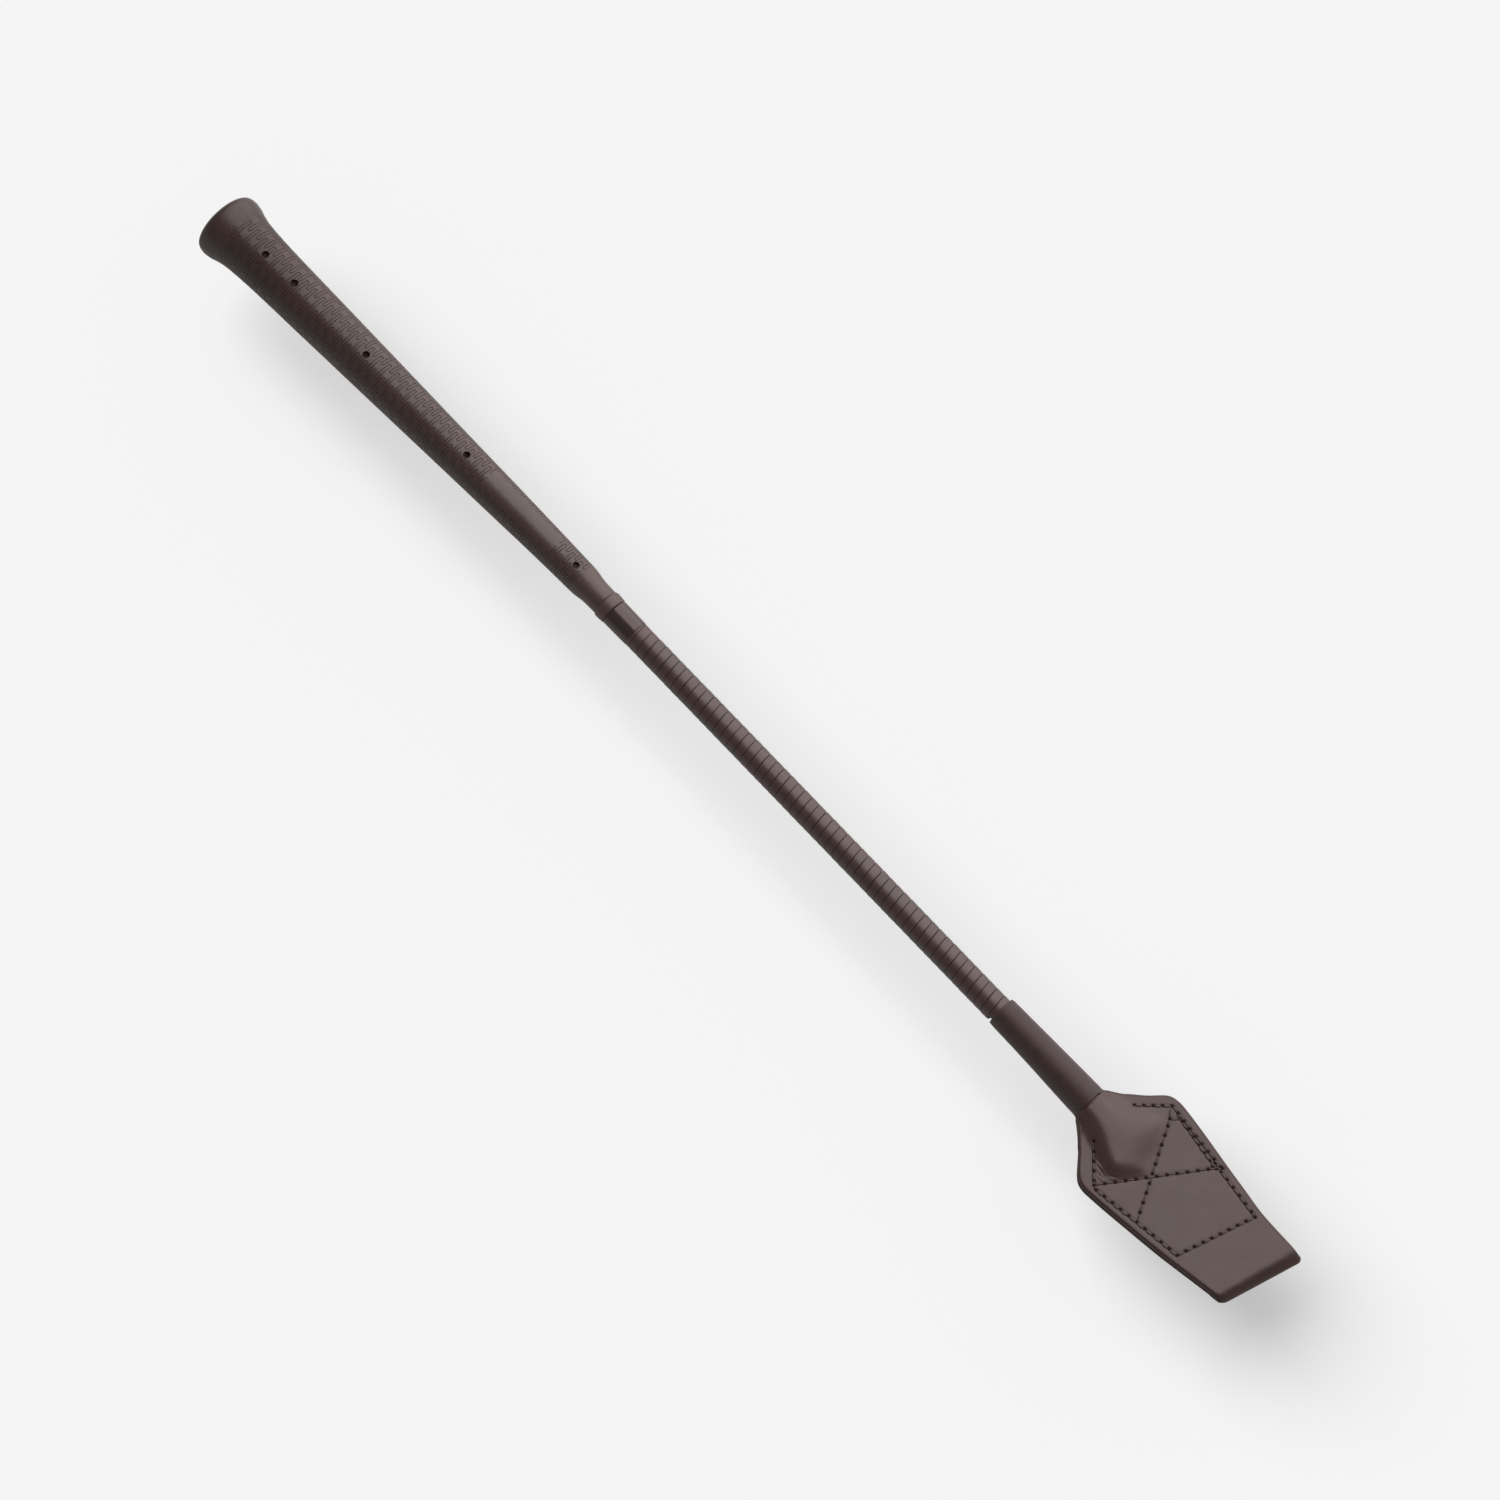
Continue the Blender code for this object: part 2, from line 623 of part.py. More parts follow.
def on_leather(corners, side):
    """Points of a thread laid on a leather face: one straight run between corners on the flat
    panel, short steps on the neck."""
    path = []
    for (x0, y0), (x1, y1) in zip(corners, corners[1:]):
        count = 1
        if min(x0, x1) <= HINGE_X:
            count = max(1, int(math.hypot(x1 - x0, y1 - y0) / THREAD_STEP))
        for i in range(count):
            path.append((x0 + (x1 - x0) * i / count, y0 + (y1 - y0) * i / count))
    path.append(corners[-1])
    return [(x, y, side * (leather_height(x, y) + CLEAR + THREAD_R)) for x, y in path]


def toward(corner, other, x):
    """The point at x on the line from one corner to another."""
    (x0, y0), (x1, y1) = corner, other
    return (x, y0 + (y1 - y0) * (x - x0) / (x1 - x0))


def thread_network(name, main, runs, side, mat):
    """A main thread, with side runs joined to it at their shared corners."""
    body = tube(name, on_leather(main, side), THREAD_R, mat)
    for number, corners in enumerate(runs, 1):
        run_name = "%s_run_%d" % (name, number)
        run = tube(run_name, on_leather(corners, side), THREAD_R * RUN_SCALE, mat)
        add_boolean(body, "run_%d" % number, "UNION", run)


def stitching(kind, side, mat):
    """The threads on one face, split where the flap bends."""
    neck_edge, panel_edge = HINGE_X - THREAD_GAP, HINGE_X + THREAD_GAP
    thread_network(
        kind + "_thread_neck",
        [NECK_MINUS, SHOULDER_MINUS, CROSSING, SHOULDER_PLUS, NECK_PLUS],
        [
            [SHOULDER_MINUS, toward(SHOULDER_MINUS, SIDE_MINUS, neck_edge)],
            [SHOULDER_PLUS, toward(SHOULDER_PLUS, SIDE_PLUS, neck_edge)],
        ],
        side,
        mat,
    )
    thread_network(
        kind + "_thread_panel",
        [
            toward(SHOULDER_MINUS, SIDE_MINUS, panel_edge),
            SIDE_MINUS,
            TIP_MINUS,
            TIP_PLUS,
            SIDE_PLUS,
            toward(SHOULDER_PLUS, SIDE_PLUS, panel_edge),
        ],
        [
            [SIDE_MINUS, toward(SIDE_MINUS, SHOULDER_PLUS, panel_edge)],
            [SIDE_PLUS, toward(SIDE_PLUS, SHOULDER_MINUS, panel_edge)],
        ],
        side,
        mat,
    )


def build():
    for obj in list(bpy.data.objects):
        bpy.data.objects.remove(obj, do_unlink=True)
    mats = {name: material(name, *settings) for name, settings in MATERIALS.items()}

    core_rod(mats["rod_fibreglass"])
    butt_plug(mats["plug_plastic"])
    handle_core(mats["core_plastic"])
    grip_sleeve(mats["grip_rubber"])
    grip_end_ring(mats["end_ring_rubber"])
    neck_ferrule(mats["ferrule_lacquer"])

    shaft_padding(mats["padding_fabric"])
    spiral_ribbon(mats["ribbon_leatherette"])
    rod_end_cap(mats["cap_rubber"])

    neck_layer("flap_neck_front", 1.0, mats["flap_leather"])
    neck_layer("flap_neck_back", -1.0, mats["flap_leather"])
    binding_thread(mats["binding_cord"])
    flap_panel(mats["flap_leather"])

    stitching("needle", 1.0, mats["stitch_thread"])
    stitching("bobbin", -1.0, mats["stitch_thread"])


build()
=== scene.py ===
"""Looks of a riding crop: rubber grip, ribbon-wrapped shaft, cord binding and stitched leather flap.

The crop lies along +X, from its butt at x = 0 to the flap's tip near x = 646. The front of the grip
and of the flap faces +Z, and the flap's width runs along Y. Lengths are in millimetres unless a name
or comment says otherwise; scene, light and texture sizes are in metres.
"""

import math

import bmesh
import bpy
import numpy as np
from mathutils import Matrix, Vector
from mathutils.bvhtree import BVHTree


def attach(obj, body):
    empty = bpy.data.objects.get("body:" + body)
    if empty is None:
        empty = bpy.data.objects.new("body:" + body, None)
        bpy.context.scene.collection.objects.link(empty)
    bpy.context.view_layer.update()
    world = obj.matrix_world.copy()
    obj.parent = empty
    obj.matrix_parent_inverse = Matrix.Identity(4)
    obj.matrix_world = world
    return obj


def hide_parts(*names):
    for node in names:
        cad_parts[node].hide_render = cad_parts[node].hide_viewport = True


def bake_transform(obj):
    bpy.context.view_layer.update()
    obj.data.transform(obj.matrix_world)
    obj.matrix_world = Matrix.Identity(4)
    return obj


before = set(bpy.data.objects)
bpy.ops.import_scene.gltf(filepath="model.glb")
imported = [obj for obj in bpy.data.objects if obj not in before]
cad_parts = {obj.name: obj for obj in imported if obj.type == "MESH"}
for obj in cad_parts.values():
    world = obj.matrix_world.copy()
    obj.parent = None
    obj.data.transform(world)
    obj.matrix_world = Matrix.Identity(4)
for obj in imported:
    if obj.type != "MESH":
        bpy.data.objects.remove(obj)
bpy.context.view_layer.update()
MM = 0.001  # metres in a millimetre

# ------------------------------------------------------------------ curves


def smoothstep(low, high, x):
    t = np.clip((np.asarray(x, float) - low) / (high - low), 0.0, 1.0)
    return t * t * (3.0 - 2.0 * t)


def curve_through(table):
    """A smooth function through (position, value) pairs that doesn't overshoot them."""
    places = np.array([row[0] for row in table], float)
    values = np.array([row[1] for row in table], float)
    step = np.diff(places)
    slope = np.diff(values) / step
    tangent = np.zeros(len(places))
    tangent[0], tangent[-1] = slope[0], slope[-1]
    for i in range(1, len(places) - 1):
        if slope[i - 1] * slope[i] > 0:
            before = 2 * step[i] + step[i - 1]
            after = step[i] + 2 * step[i - 1]
            tangent[i] = (before + after) / (before / slope[i - 1] + after / slope[i])

    def curve(x):
        x = np.clip(np.asarray(x, float), places[0], places[-1])
        i = np.clip(np.searchsorted(places, x) - 1, 0, len(step) - 1)
        t = (x - places[i]) / step[i]
        return (
            (1 + 2 * t) * (1 - t) ** 2 * values[i]
            + t * (1 - t) ** 2 * step[i] * tangent[i]
            + t * t * (3 - 2 * t) * values[i + 1]
            + t * t * (t - 1) * step[i] * tangent[i + 1]
        )

    return curve


# ------------------------------------------------------------------ meshes


def add_object(name, data):
    obj = bpy.data.objects.new(name, data)
    bpy.context.scene.collection.objects.link(obj)
    return obj


def weld_points(verts, blocks, point_values, distance):
    """Merges points that round to the same place and drops faces this collapses."""
    keys = np.round(verts / distance).astype(np.int64)
    _, first, inverse = np.unique(keys, axis=0, return_index=True, return_inverse=True)
    inverse = inverse.reshape(-1)
    welded = []
    for block in blocks:
        block = inverse[np.asarray(block)]
        same = block == np.roll(block, -1, axis=1)
        repeats = same.sum(axis=1)
        welded.append(block[repeats == 0])
        if block.shape[1] == 4:
            # a quad with one repeated corner becomes a triangle
            for corner in range(4):
                rows = block[(repeats == 1) & same[:, corner]]
                welded.append(np.delete(rows, corner, axis=1))
    point_values = {key: np.asarray(values)[first] for key, values in point_values.items()}
    return verts[first], welded, point_values


def build_mesh(name, verts, blocks, material, point_values=None, weld=None):
    """A smooth-shaded object from points and blocks of faces, each block with one corner count."""
    verts = np.asarray(verts, float)
    point_values = point_values or {}
    if weld:
        verts, blocks, point_values = weld_points(verts, blocks, point_values, weld)
    blocks = [np.asarray(block, np.int32) for block in blocks if len(block)]
    loops = np.concatenate([block.ravel() for block in blocks])
    sizes = np.concatenate([np.full(len(block), block.shape[1], np.int32) for block in blocks])
    starts = np.concatenate([[0], np.cumsum(sizes)[:-1]]).astype(np.int32)
    mesh = bpy.data.meshes.new(name)
    mesh.vertices.add(len(verts))
    mesh.vertices.foreach_set("co", (verts * MM).astype(np.float32).ravel())
    mesh.loops.add(len(loops))
    mesh.loops.foreach_set("vertex_index", loops)
    mesh.polygons.add(len(sizes))
    mesh.polygons.foreach_set("loop_start", starts)
    mesh.update(calc_edges=True)
    mesh.validate()
    for key, values in point_values.items():
        layer = mesh.attributes.new(key, "FLOAT", "POINT")
        layer.data.foreach_set("value", np.asarray(values, np.float32))
    mesh.shade_smooth()
    mesh.materials.append(material)
    return add_object(name, mesh)


def grid_faces(rows, cols, close_cols=False, offset=0, flip=False):
    """Quads over a grid of points stored row by row; close_cols joins each row into a ring."""
    i, j = np.meshgrid(
        np.arange(rows - 1), np.arange(cols if close_cols else cols - 1), indexing="ij"
    )
    k = (j + 1) % cols
    faces = [i * cols + j, i * cols + k, (i + 1) * cols + k, (i + 1) * cols + j]
    faces = np.stack(faces, -1).reshape(-1, 4) + offset
    return faces[:, ::-1] if flip else faces


def outward(obj):
    """Turns every face of a closed mesh outwards."""
    bm = bmesh.new()
    bm.from_mesh(obj.data)
    bmesh.ops.recalc_face_normals(bm, faces=bm.faces[:])
    bm.to_mesh(obj.data)
    bm.free()
    return obj


def sharpen(obj, degrees):
    obj.data.set_sharp_from_angle(angle=math.radians(degrees))


def capped_tube(name, rings, material, point_values=None):
    """A tube through a (rings, points, 3) array, closed by one face at each end."""
    count, sides = rings.shape[:2]
    start = np.arange(sides)[None]
    end = (count - 1) * sides + start[:, ::-1]
    blocks = [grid_faces(count, sides, close_cols=True), start, end]
    return outward(build_mesh(name, rings.reshape(-1, 3), blocks, material, point_values))


def finish_rigid(obj, part):
    """Tells the frame that a piece moves with the shaft."""
    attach(obj, "shaft")
    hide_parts(part)


def finish_bending(obj, slot, *parts):
    """Hides the CAD parts that a piece replaces and bakes its placement into its points."""
    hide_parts(*parts)
    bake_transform(obj)


# ------------------------------------------------------------------ material tools

NOISE_SPREAD = (0.3, 0.7)  # the range that most of a noise texture's values lie in


def tint(rgb, by):
    return tuple(channel * by for channel in rgb)


class Nodes:
    """Short calls for building one material's nodes. Texture scales are per metre."""

    def __init__(self, name):
        self.mat = bpy.data.materials.new(name)
        self.mat.use_nodes = True
        self.tree = self.mat.node_tree
        self.shader = self.tree.nodes["Principled BSDF"]
        self.place = self.add("ShaderNodeTexCoord").outputs["Object"]

    def feed(self, socket, value):
        """Links a socket into another, or sets its value; colours are given as RGB."""
        if isinstance(value, bpy.types.NodeSocket):
            self.tree.links.new(value, socket)
        elif socket.type == "RGBA":
            socket.default_value = (*value, 1.0)
        else:
            socket.default_value = value

    def add(self, kind, inputs=None, **settings):
        node = self.tree.nodes.new(kind)
        for key, value in settings.items():
            setattr(node, key, value)
        for key, value in (inputs or {}).items():
            self.feed(node.inputs[key], value)
        return node

    def noise(self, scale, detail=3.0, rough=0.5, place=None, distortion=0.0):
        inputs = {
            "Scale": scale,
            "Detail": detail,
            "Roughness": rough,
            "Distortion": distortion,
            "Vector": place or self.place,
        }
        return self.add("ShaderNodeTexNoise", inputs).outputs["Fac"]

    def cells(self, scale):
        inputs = {"Scale": scale, "Vector": self.place}
        return self.add("ShaderNodeTexVoronoi", inputs).outputs["Distance"]

    def stretch(self, x, y, z):
        inputs = {"Scale": (x, y, z), "Vector": self.place}
        return self.add("ShaderNodeMapping", inputs).outputs["Vector"]

    def remap(self, value, source=NOISE_SPREAD, target=(0.0, 1.0)):
        inputs = dict(enumerate((value, *source, *target)))
        return self.add("ShaderNodeMapRange", inputs).outputs[0]

    def math(self, operation, first, second):
        inputs = {0: first, 1: second}
        return self.add("ShaderNodeMath", inputs, operation=operation).outputs[0]

    def scaled(self, value, by):
        return self.math("MULTIPLY", value, by)

    def mix(self, share, first, second):
        inputs = {0: share, 6: first, 7: second}
        return self.add("ShaderNodeMix", inputs, data_type="RGBA").outputs[2]

    def mottle(self, noise, rgb, dark, light):
        """A colour that wanders with a noise between two tints."""
        return self.mix(self.remap(noise), tint(rgb, dark), tint(rgb, light))

    def attr(self, name):
        return self.add("ShaderNodeAttribute", attribute_name=name).outputs["Fac"]

    def bump(self, height, metres, strength, under=None):
        inputs = {"Strength": strength, "Distance": metres, "Height": height}
        if under is not None:
            inputs["Normal"] = under
        return self.add("ShaderNodeBump", inputs).outputs["Normal"]

    def set(self, **values):
        for key, value in values.items():
            self.feed(self.shader.inputs[key.replace("_", " ")], value)
        return self.mat


# ------------------------------------------------------------------ materials

GRIP_RGB = (0.056, 0.027, 0.022)
RING_RGB = tint(GRIP_RGB, by=1.22)
LACQUER_RGB = (0.032, 0.016, 0.016)
WRAP_RGB = (0.060, 0.026, 0.022)
LEATHER_RGB = (0.058, 0.026, 0.0225)
# painted shade inside the needle holes
NEEDLE_HOLE_SHADE_RGB = (0.021, 0.012, 0.010)
CORD_RGB = (0.052, 0.026, 0.023)
THREAD_RGB = (0.057, 0.032, 0.0275)


def rubber_material(name, rgb, rough=0.40, patterned=True):
    """Matt rubber. A patterned mesh carries marks for painted shade in its grooves, at its slots'
    ends and towards the butt, and for a painted sheen on the nose.
    """
    mat = Nodes(name)
    blotch = mat.noise(scale=55.0, detail=4.0, rough=0.55)
    fine = mat.noise(scale=1500.0, rough=0.6)
    colour = mat.mottle(blotch, rgb, dark=0.90, light=1.10)
    speckle = mat.remap(fine, source=(0.35, 0.65), target=(0.0, 0.35))
    colour = mat.mix(speckle, colour, tint(rgb, by=1.25))
    if patterned:
        # painted shade in the grooves
        groove = mat.attr("groove")
        colour = mat.mix(mat.scaled(groove, by=0.10), colour, tint(rgb, by=0.4))
        # painted shade at the slots' ends
        slot_end_shade = mat.scaled(mat.attr("slot_end_shade"), by=0.5)
        colour = mat.mix(slot_end_shade, colour, tint(rgb, by=0.3))
        # painted sheen: the smooth nose is painted lighter
        colour = mat.mix(mat.attr("nose"), colour, tint(rgb, by=1.2))
        # painted shade towards the butt and on its rounded rim
        colour = mat.mix(mat.attr("butt_shade"), colour, tint(rgb, by=0.30))
    roughness = mat.remap(mat.noise(scale=180.0), target=(rough - 0.05, rough + 0.07))
    pores = mat.noise(scale=2600.0, detail=2.0, rough=0.6)
    normal = mat.bump(pores, metres=0.00003, strength=0.5)
    normal = mat.bump(mat.noise(scale=500.0), metres=0.00008, strength=0.35, under=normal)
    specular = 0.85
    if patterned:
        # less shine towards the butt, with the same painted shade
        specular = mat.remap(mat.attr("butt_shade"), source=(0.0, 1.0), target=(0.88, 0.0))
    return mat.set(
        Base_Color=colour, Roughness=roughness, Normal=normal, Specular_IOR_Level=specular
    )


def plain_material(name, rgb, rough, grain=400.0, specular=0.5):
    mat = Nodes(name)
    colour = mat.mottle(mat.noise(scale=grain * 0.15), rgb, dark=0.85, light=1.12)
    normal = mat.bump(mat.noise(scale=grain), metres=0.00003, strength=0.5)
    patches = mat.noise(scale=grain * 0.5, detail=2.0)
    return mat.set(
        Base_Color=colour,
        Roughness=mat.remap(patches, target=(rough - 0.04, rough + 0.06)),
        Normal=normal,
        Specular_IOR_Level=specular,
    )


def gloss_material(name, rgb):
    """Lacquer with a haze and faint scratches drawn out along X."""
    mat = Nodes(name)
    haze = mat.noise(scale=300.0)
    scratches = mat.noise(scale=900.0, detail=2.0, place=mat.stretch(x=0.08, y=1.0, z=1.0))
    return mat.set(
        Base_Color=mat.mottle(haze, rgb, dark=0.9, light=1.15),
        Roughness=mat.remap(scratches, source=(0.3, 0.75), target=(0.16, 0.26)),
        Specular_IOR_Level=0.92,
        Specular_Tint=(1.0, 0.88, 0.87),
        Normal=mat.bump(mat.noise(scale=120.0, detail=2.0), metres=0.00004, strength=0.25),
    )


def ribbon_material():
    """Grained ribbon, with painted shade along the edges the mesh marks, in the seams between its
    turns.
    """
    mat = Nodes("wrap_leatherette")
    edge = mat.attr("edge")
    grain = mat.cells(scale=2100.0)
    blotch = mat.noise(scale=70.0, detail=4.0, rough=0.6)
    colour = mat.mottle(blotch, WRAP_RGB, dark=0.9, light=1.1)
    # painted shade along the edges, in the seams between turns
    colour = mat.mix(mat.scaled(edge, by=0.85), colour, tint(WRAP_RGB, by=0.25))
    roughness = mat.remap(mat.noise(scale=400.0), target=(0.34, 0.44))
    normal = mat.bump(grain, metres=0.00004, strength=0.45)
    normal = mat.bump(mat.noise(scale=260.0), metres=0.00009, strength=0.35, under=normal)
    return mat.set(
        Base_Color=colour, Roughness=roughness, Normal=normal, Specular_IOR_Level=0.9
    )


def leather_material():
    """Smooth full-grain leather. The mesh carries where it is cut (edge) and pierced (hole), which
    is filled with painted shade, and where painted shade darkens creases, the stitched rows and the
    tip's fold."""
    rgb = LEATHER_RGB
    mat = Nodes("flap_leather")
    edge, hole, crease_shade = mat.attr("edge"), mat.attr("hole"), mat.attr("crease_shade")
    cloud = mat.noise(scale=28.0, detail=5.0, rough=0.6, distortion=0.4)
    mottle = mat.noise(scale=150.0, detail=4.0, rough=0.6)
    grain = mat.cells(scale=1300.0)
    drawn_out = mat.stretch(x=0.45, y=1.0, z=1.0)
    wrinkle = mat.noise(scale=420.0, detail=4.0, rough=0.65, place=drawn_out, distortion=0.8)
    colour = mat.mottle(cloud, rgb, dark=0.88, light=1.12)
    light_spots = mat.remap(mottle, source=(0.35, 0.7), target=(0.0, 0.5))
    colour = mat.mix(light_spots, colour, tint(rgb, by=1.25))
    dark_grain = mat.remap(grain, source=(0.0, 0.5), target=(0.35, 0.0))
    colour = mat.mix(dark_grain, colour, tint(rgb, by=0.7))
    # painted shade in creases, along the stitched rows and across the tip's fold
    colour = mat.mix(mat.scaled(crease_shade, by=0.55), colour, tint(rgb, by=0.45))
    along_cut = mat.stretch(x=0.35, y=0.35, z=1.0)
    fibre = mat.noise(scale=2400.0, rough=0.6, place=along_cut)
    fibre = mat.remap(fibre, source=(0.35, 0.65))
    cut = mat.mix(fibre, tint(rgb, by=0.65), tint(rgb, by=1.15))
    colour = mat.mix(edge, colour, cut)
    # painted shade in the needle holes
    colour = mat.mix(hole, colour, NEEDLE_HOLE_SHADE_RGB)
    roughness = mat.remap(mottle, target=(0.36, 0.45))
    roughness = mat.math("ADD", roughness, mat.scaled(edge, by=0.12))
    normal = mat.bump(grain, metres=0.00005, strength=0.35)
    normal = mat.bump(wrinkle, metres=0.00016, strength=0.45, under=normal)
    normal = mat.bump(mat.noise(scale=60.0), metres=0.0004, strength=0.35, under=normal)
    # cut edges shine less; needle holes not at all, as part of their painted shade
    specular = mat.math("SUBTRACT", 0.72, mat.scaled(edge, by=0.52))
    specular = mat.scaled(specular, by=mat.math("SUBTRACT", 1.0, hole))
    return mat.set(
        Base_Color=colour, Roughness=roughness, Normal=normal, Specular_IOR_Level=specular
    )


def cord_material(name, rgb, rough=0.48):
    """Fibrous cord or thread with patches of wax."""
    mat = Nodes(name)
    fibre = mat.noise(scale=2300.0, rough=0.65)
    wax = mat.noise(scale=220.0)
    colour = mat.mottle(fibre, rgb, dark=0.72, light=1.25)
    waxed = mat.remap(wax, source=(0.45, 0.75), target=(0.0, 0.4))
    colour = mat.mix(waxed, colour, tint(rgb, by=1.4))
    normal = mat.bump(fibre, metres=0.00005, strength=0.6)
    return mat.set(
        Base_Color=colour,
        Roughness=mat.remap(wax, target=(rough - 0.06, rough + 0.06)),
        Normal=normal,
        Specular_IOR_Level=0.75,
    )


RUBBER = rubber_material("grip_rubber", GRIP_RGB)
RING_RUBBER = rubber_material("ring_rubber", RING_RGB, rough=0.42, patterned=False)
LACQUER = gloss_material("ferrule_lacquer", LACQUER_RGB)
RIBBON = ribbon_material()
LEATHER = leather_material()
CORD = cord_material("binding_cord", CORD_RGB)
THREAD = cord_material("stitch_thread", THREAD_RGB, rough=0.5)

# ------------------------------------------------------------------ centreline and grip profile

# the handle leans towards -Y: by HANDLE_SET at the butt, straightening within SET_BLEND of SET_START
HANDLE_SET, SET_START, SET_BLEND = 4.4, 216.0, 24.0


def axis_y(x):
    """Where the centreline lies in Y."""
    x = np.asarray(x, float)
    slope = HANDLE_SET / SET_START
    bent = -slope * (SET_START + SET_BLEND - x) ** 2 / (4.0 * SET_BLEND)
    return np.where(
        x >= SET_START + SET_BLEND,
        0.0,
        np.where(x <= SET_START - SET_BLEND, -slope * (SET_START - x), bent),
    )


GRIP_END = 244.0
GRIP_DIAMETER = curve_through(
    [  # x, diameter
        (0.0, 26.6), (0.45, 28.4), (1.2, 30.2), (2.4, 31.4), (3.7, 31.9), (5.0, 32.0), (6.8, 31.6),
        (8.7, 30.8), (10.5, 29.6), (12.5, 28.5), (15.5, 27.3), (21.5, 26.15), (31.0, 25.1),
        (45.0, 24.25), (59.0, 23.6), (77.0, 22.65), (95.0, 21.75), (113.6, 20.75), (131.7, 19.75),
        (149.7, 18.8), (167.6, 17.9), (185.5, 17.0), (203.3, 16.0), (221.0, 15.15), (228.0, 14.85),
        (230.5, 14.7), (233.0, 14.1), (235.0, 13.4), (237.0, 12.95), (239.5, 12.7),
        (GRIP_END, 12.6),
    ]
)
VENT_HOLES = ((29.1, 3.3), (47.4, 3.5), (92.9, 3.2), (156.1, 3.1), (224.6, 2.9))  # x, diameter
TWIST_AT_FIRST_HOLE = 6.2  # degrees
TWIST_PER_MM = 0.032


def grip_radius(x):
    return float(GRIP_DIAMETER(x)) / 2.0


def pattern_twist(x):
    """Degrees by which the grip's pattern has turned from +Z towards -Y."""
    past_hole = np.asarray(x, float) - VENT_HOLES[0][0]
    return np.maximum(0.0, TWIST_AT_FIRST_HOLE - TWIST_PER_MM * past_hole)


# ------------------------------------------------------------------ rubber grip

# columns of long pads, each pad outlined by a shallow groove and lying round the grip
PITCH = 2.65  # from one column to the next
FIRST_COLUMN, COLUMNS = 8.0, 85
PATTERN_START = FIRST_COLUMN - PITCH / 2.0
PATTERN_END = FIRST_COLUMN + PITCH * (COLUMNS - 0.5)
PADS_ROUND = 5
PAD_TURN = 360.0 / PADS_ROUND  # degrees from one pad to the next
PAD_HALF_WIDTH = 0.70  # out to the middle of the groove
PAD_HALF_ANGLES = (26.3, 27.2)  # half a pad's length in degrees, in even and odd columns
PAD_STEPS = 12  # mesh steps along a pad
GROOVE_DEPTH = 0.24
GROOVE_SECTION = (  # distance outwards from the groove's middle, share of its depth
    (0.26, 0.0), (0.19, 0.45), (0.09, 1.0), (-0.09, 1.0), (-0.19, 0.45), (-0.28, -0.04),
)
PAD_CROWN = -0.10  # share of the groove's depth, so slightly raised
SMOOTH_PANEL = (169.6, 212.2)  # patch on the front without pads
ROUND_POINTS = PADS_ROUND * PAD_STEPS
ROUND_DEGREES = np.arange(ROUND_POINTS) * 6.0

CAVITY_START = 5.0
BUTT_STATIONS = (0.0, 0.15, 0.45, 0.8, 1.2, 1.8, 2.4, 3.1, 3.9, 4.6, 5.3, 6.0)
NOSE_STATIONS = (232.6, 233.4, 234.2, 235.0, 236.0, 237.2, 238.6, 240.2, 242.0, 243.3)
CAVITY_STATIONS = (
    GRIP_END, 239.0, 232.0, 221.0, 204.0, 177.0, 131.0, 86.0, 45.0, 21.5, 12.5, 8.0, CAVITY_START,
)
DISC_CENTRE = 1e-5  # radius of an innermost ring that welds into one point
BUTT_FACE = (  # radius, depth: flat, with a shallow ring sunk near its rim
    (11.2, 0.0), (10.9, 0.12), (10.4, 0.32), (9.9, 0.32), (9.4, 0.12), (9.1, 0.0), (6.0, 0.0),
    (3.0, 0.0), (DISC_CENTRE, 0.0),
)
# painted shade: darker towards the butt, darkest on its rounded rim
BUTT_SHADE = curve_through(
    [  # x, share of painted shade
        (-1.0, 0.55), (0.0, 0.55), (0.7, 0.45), (1.8, 0.28), (4.0, 0.26), (27.0, 0.27),
        (50.0, 0.20), (78.0, 0.12), (150.0, 0.05), (220.0, 0.0), (245.0, 0.0),
    ]
)


def wall_thickness(x):
    return 2.2 + (1.3 - 2.2) * float(smoothstep(200.0, 240.0, x))


def groove_share(x, degrees):
    """Share of the full groove depth: it fades at both ends and leaves the smooth panel clear."""
    share = smoothstep(9.6, 14.0, x) * (1.0 - smoothstep(226.5, 232.5, x))
    start, end = SMOOTH_PANEL
    in_panel = smoothstep(start - 0.6, start + 0.4, x) * (1 - smoothstep(end - 0.4, end + 0.6, x))
    from_front = np.abs((degrees + 180.0) % 360.0 - 180.0)
    clear = smoothstep(31.0, 38.0, from_front)
    return share * (1.0 - in_panel * (1.0 - clear))


def grip_surface(x, degrees, depth):
    """Points on the grip; degrees run from the pattern's front line towards +Y."""
    phi = np.radians(90.0 - degrees) + np.radians(pattern_twist(x))
    radius = GRIP_DIAMETER(x) / 2.0 - depth
    return np.stack([x, axis_y(x) + radius * np.cos(phi), radius * np.sin(phi)], -1)


def sleeve_rings(stations):
    """Rings of points at (x, depth below the surface)."""
    return np.vstack(
        [grip_surface(np.full(ROUND_POINTS, x), ROUND_DEGREES, depth) for x, depth in stations]
    )


def disc_rings(x, stations):
    """Rings of points at (radius, step along X) across a disc at x."""
    phi = np.radians(90.0 - ROUND_DEGREES) + np.radians(pattern_twist(x))
    middle = float(axis_y(x))
    return np.vstack(
        [
            np.stack(
                [
                    np.full(ROUND_POINTS, x + step),
                    middle + radius * np.cos(phi),
                    radius * np.sin(phi),
                ],
                -1,
            )
            for radius, step in stations
        ]
    )


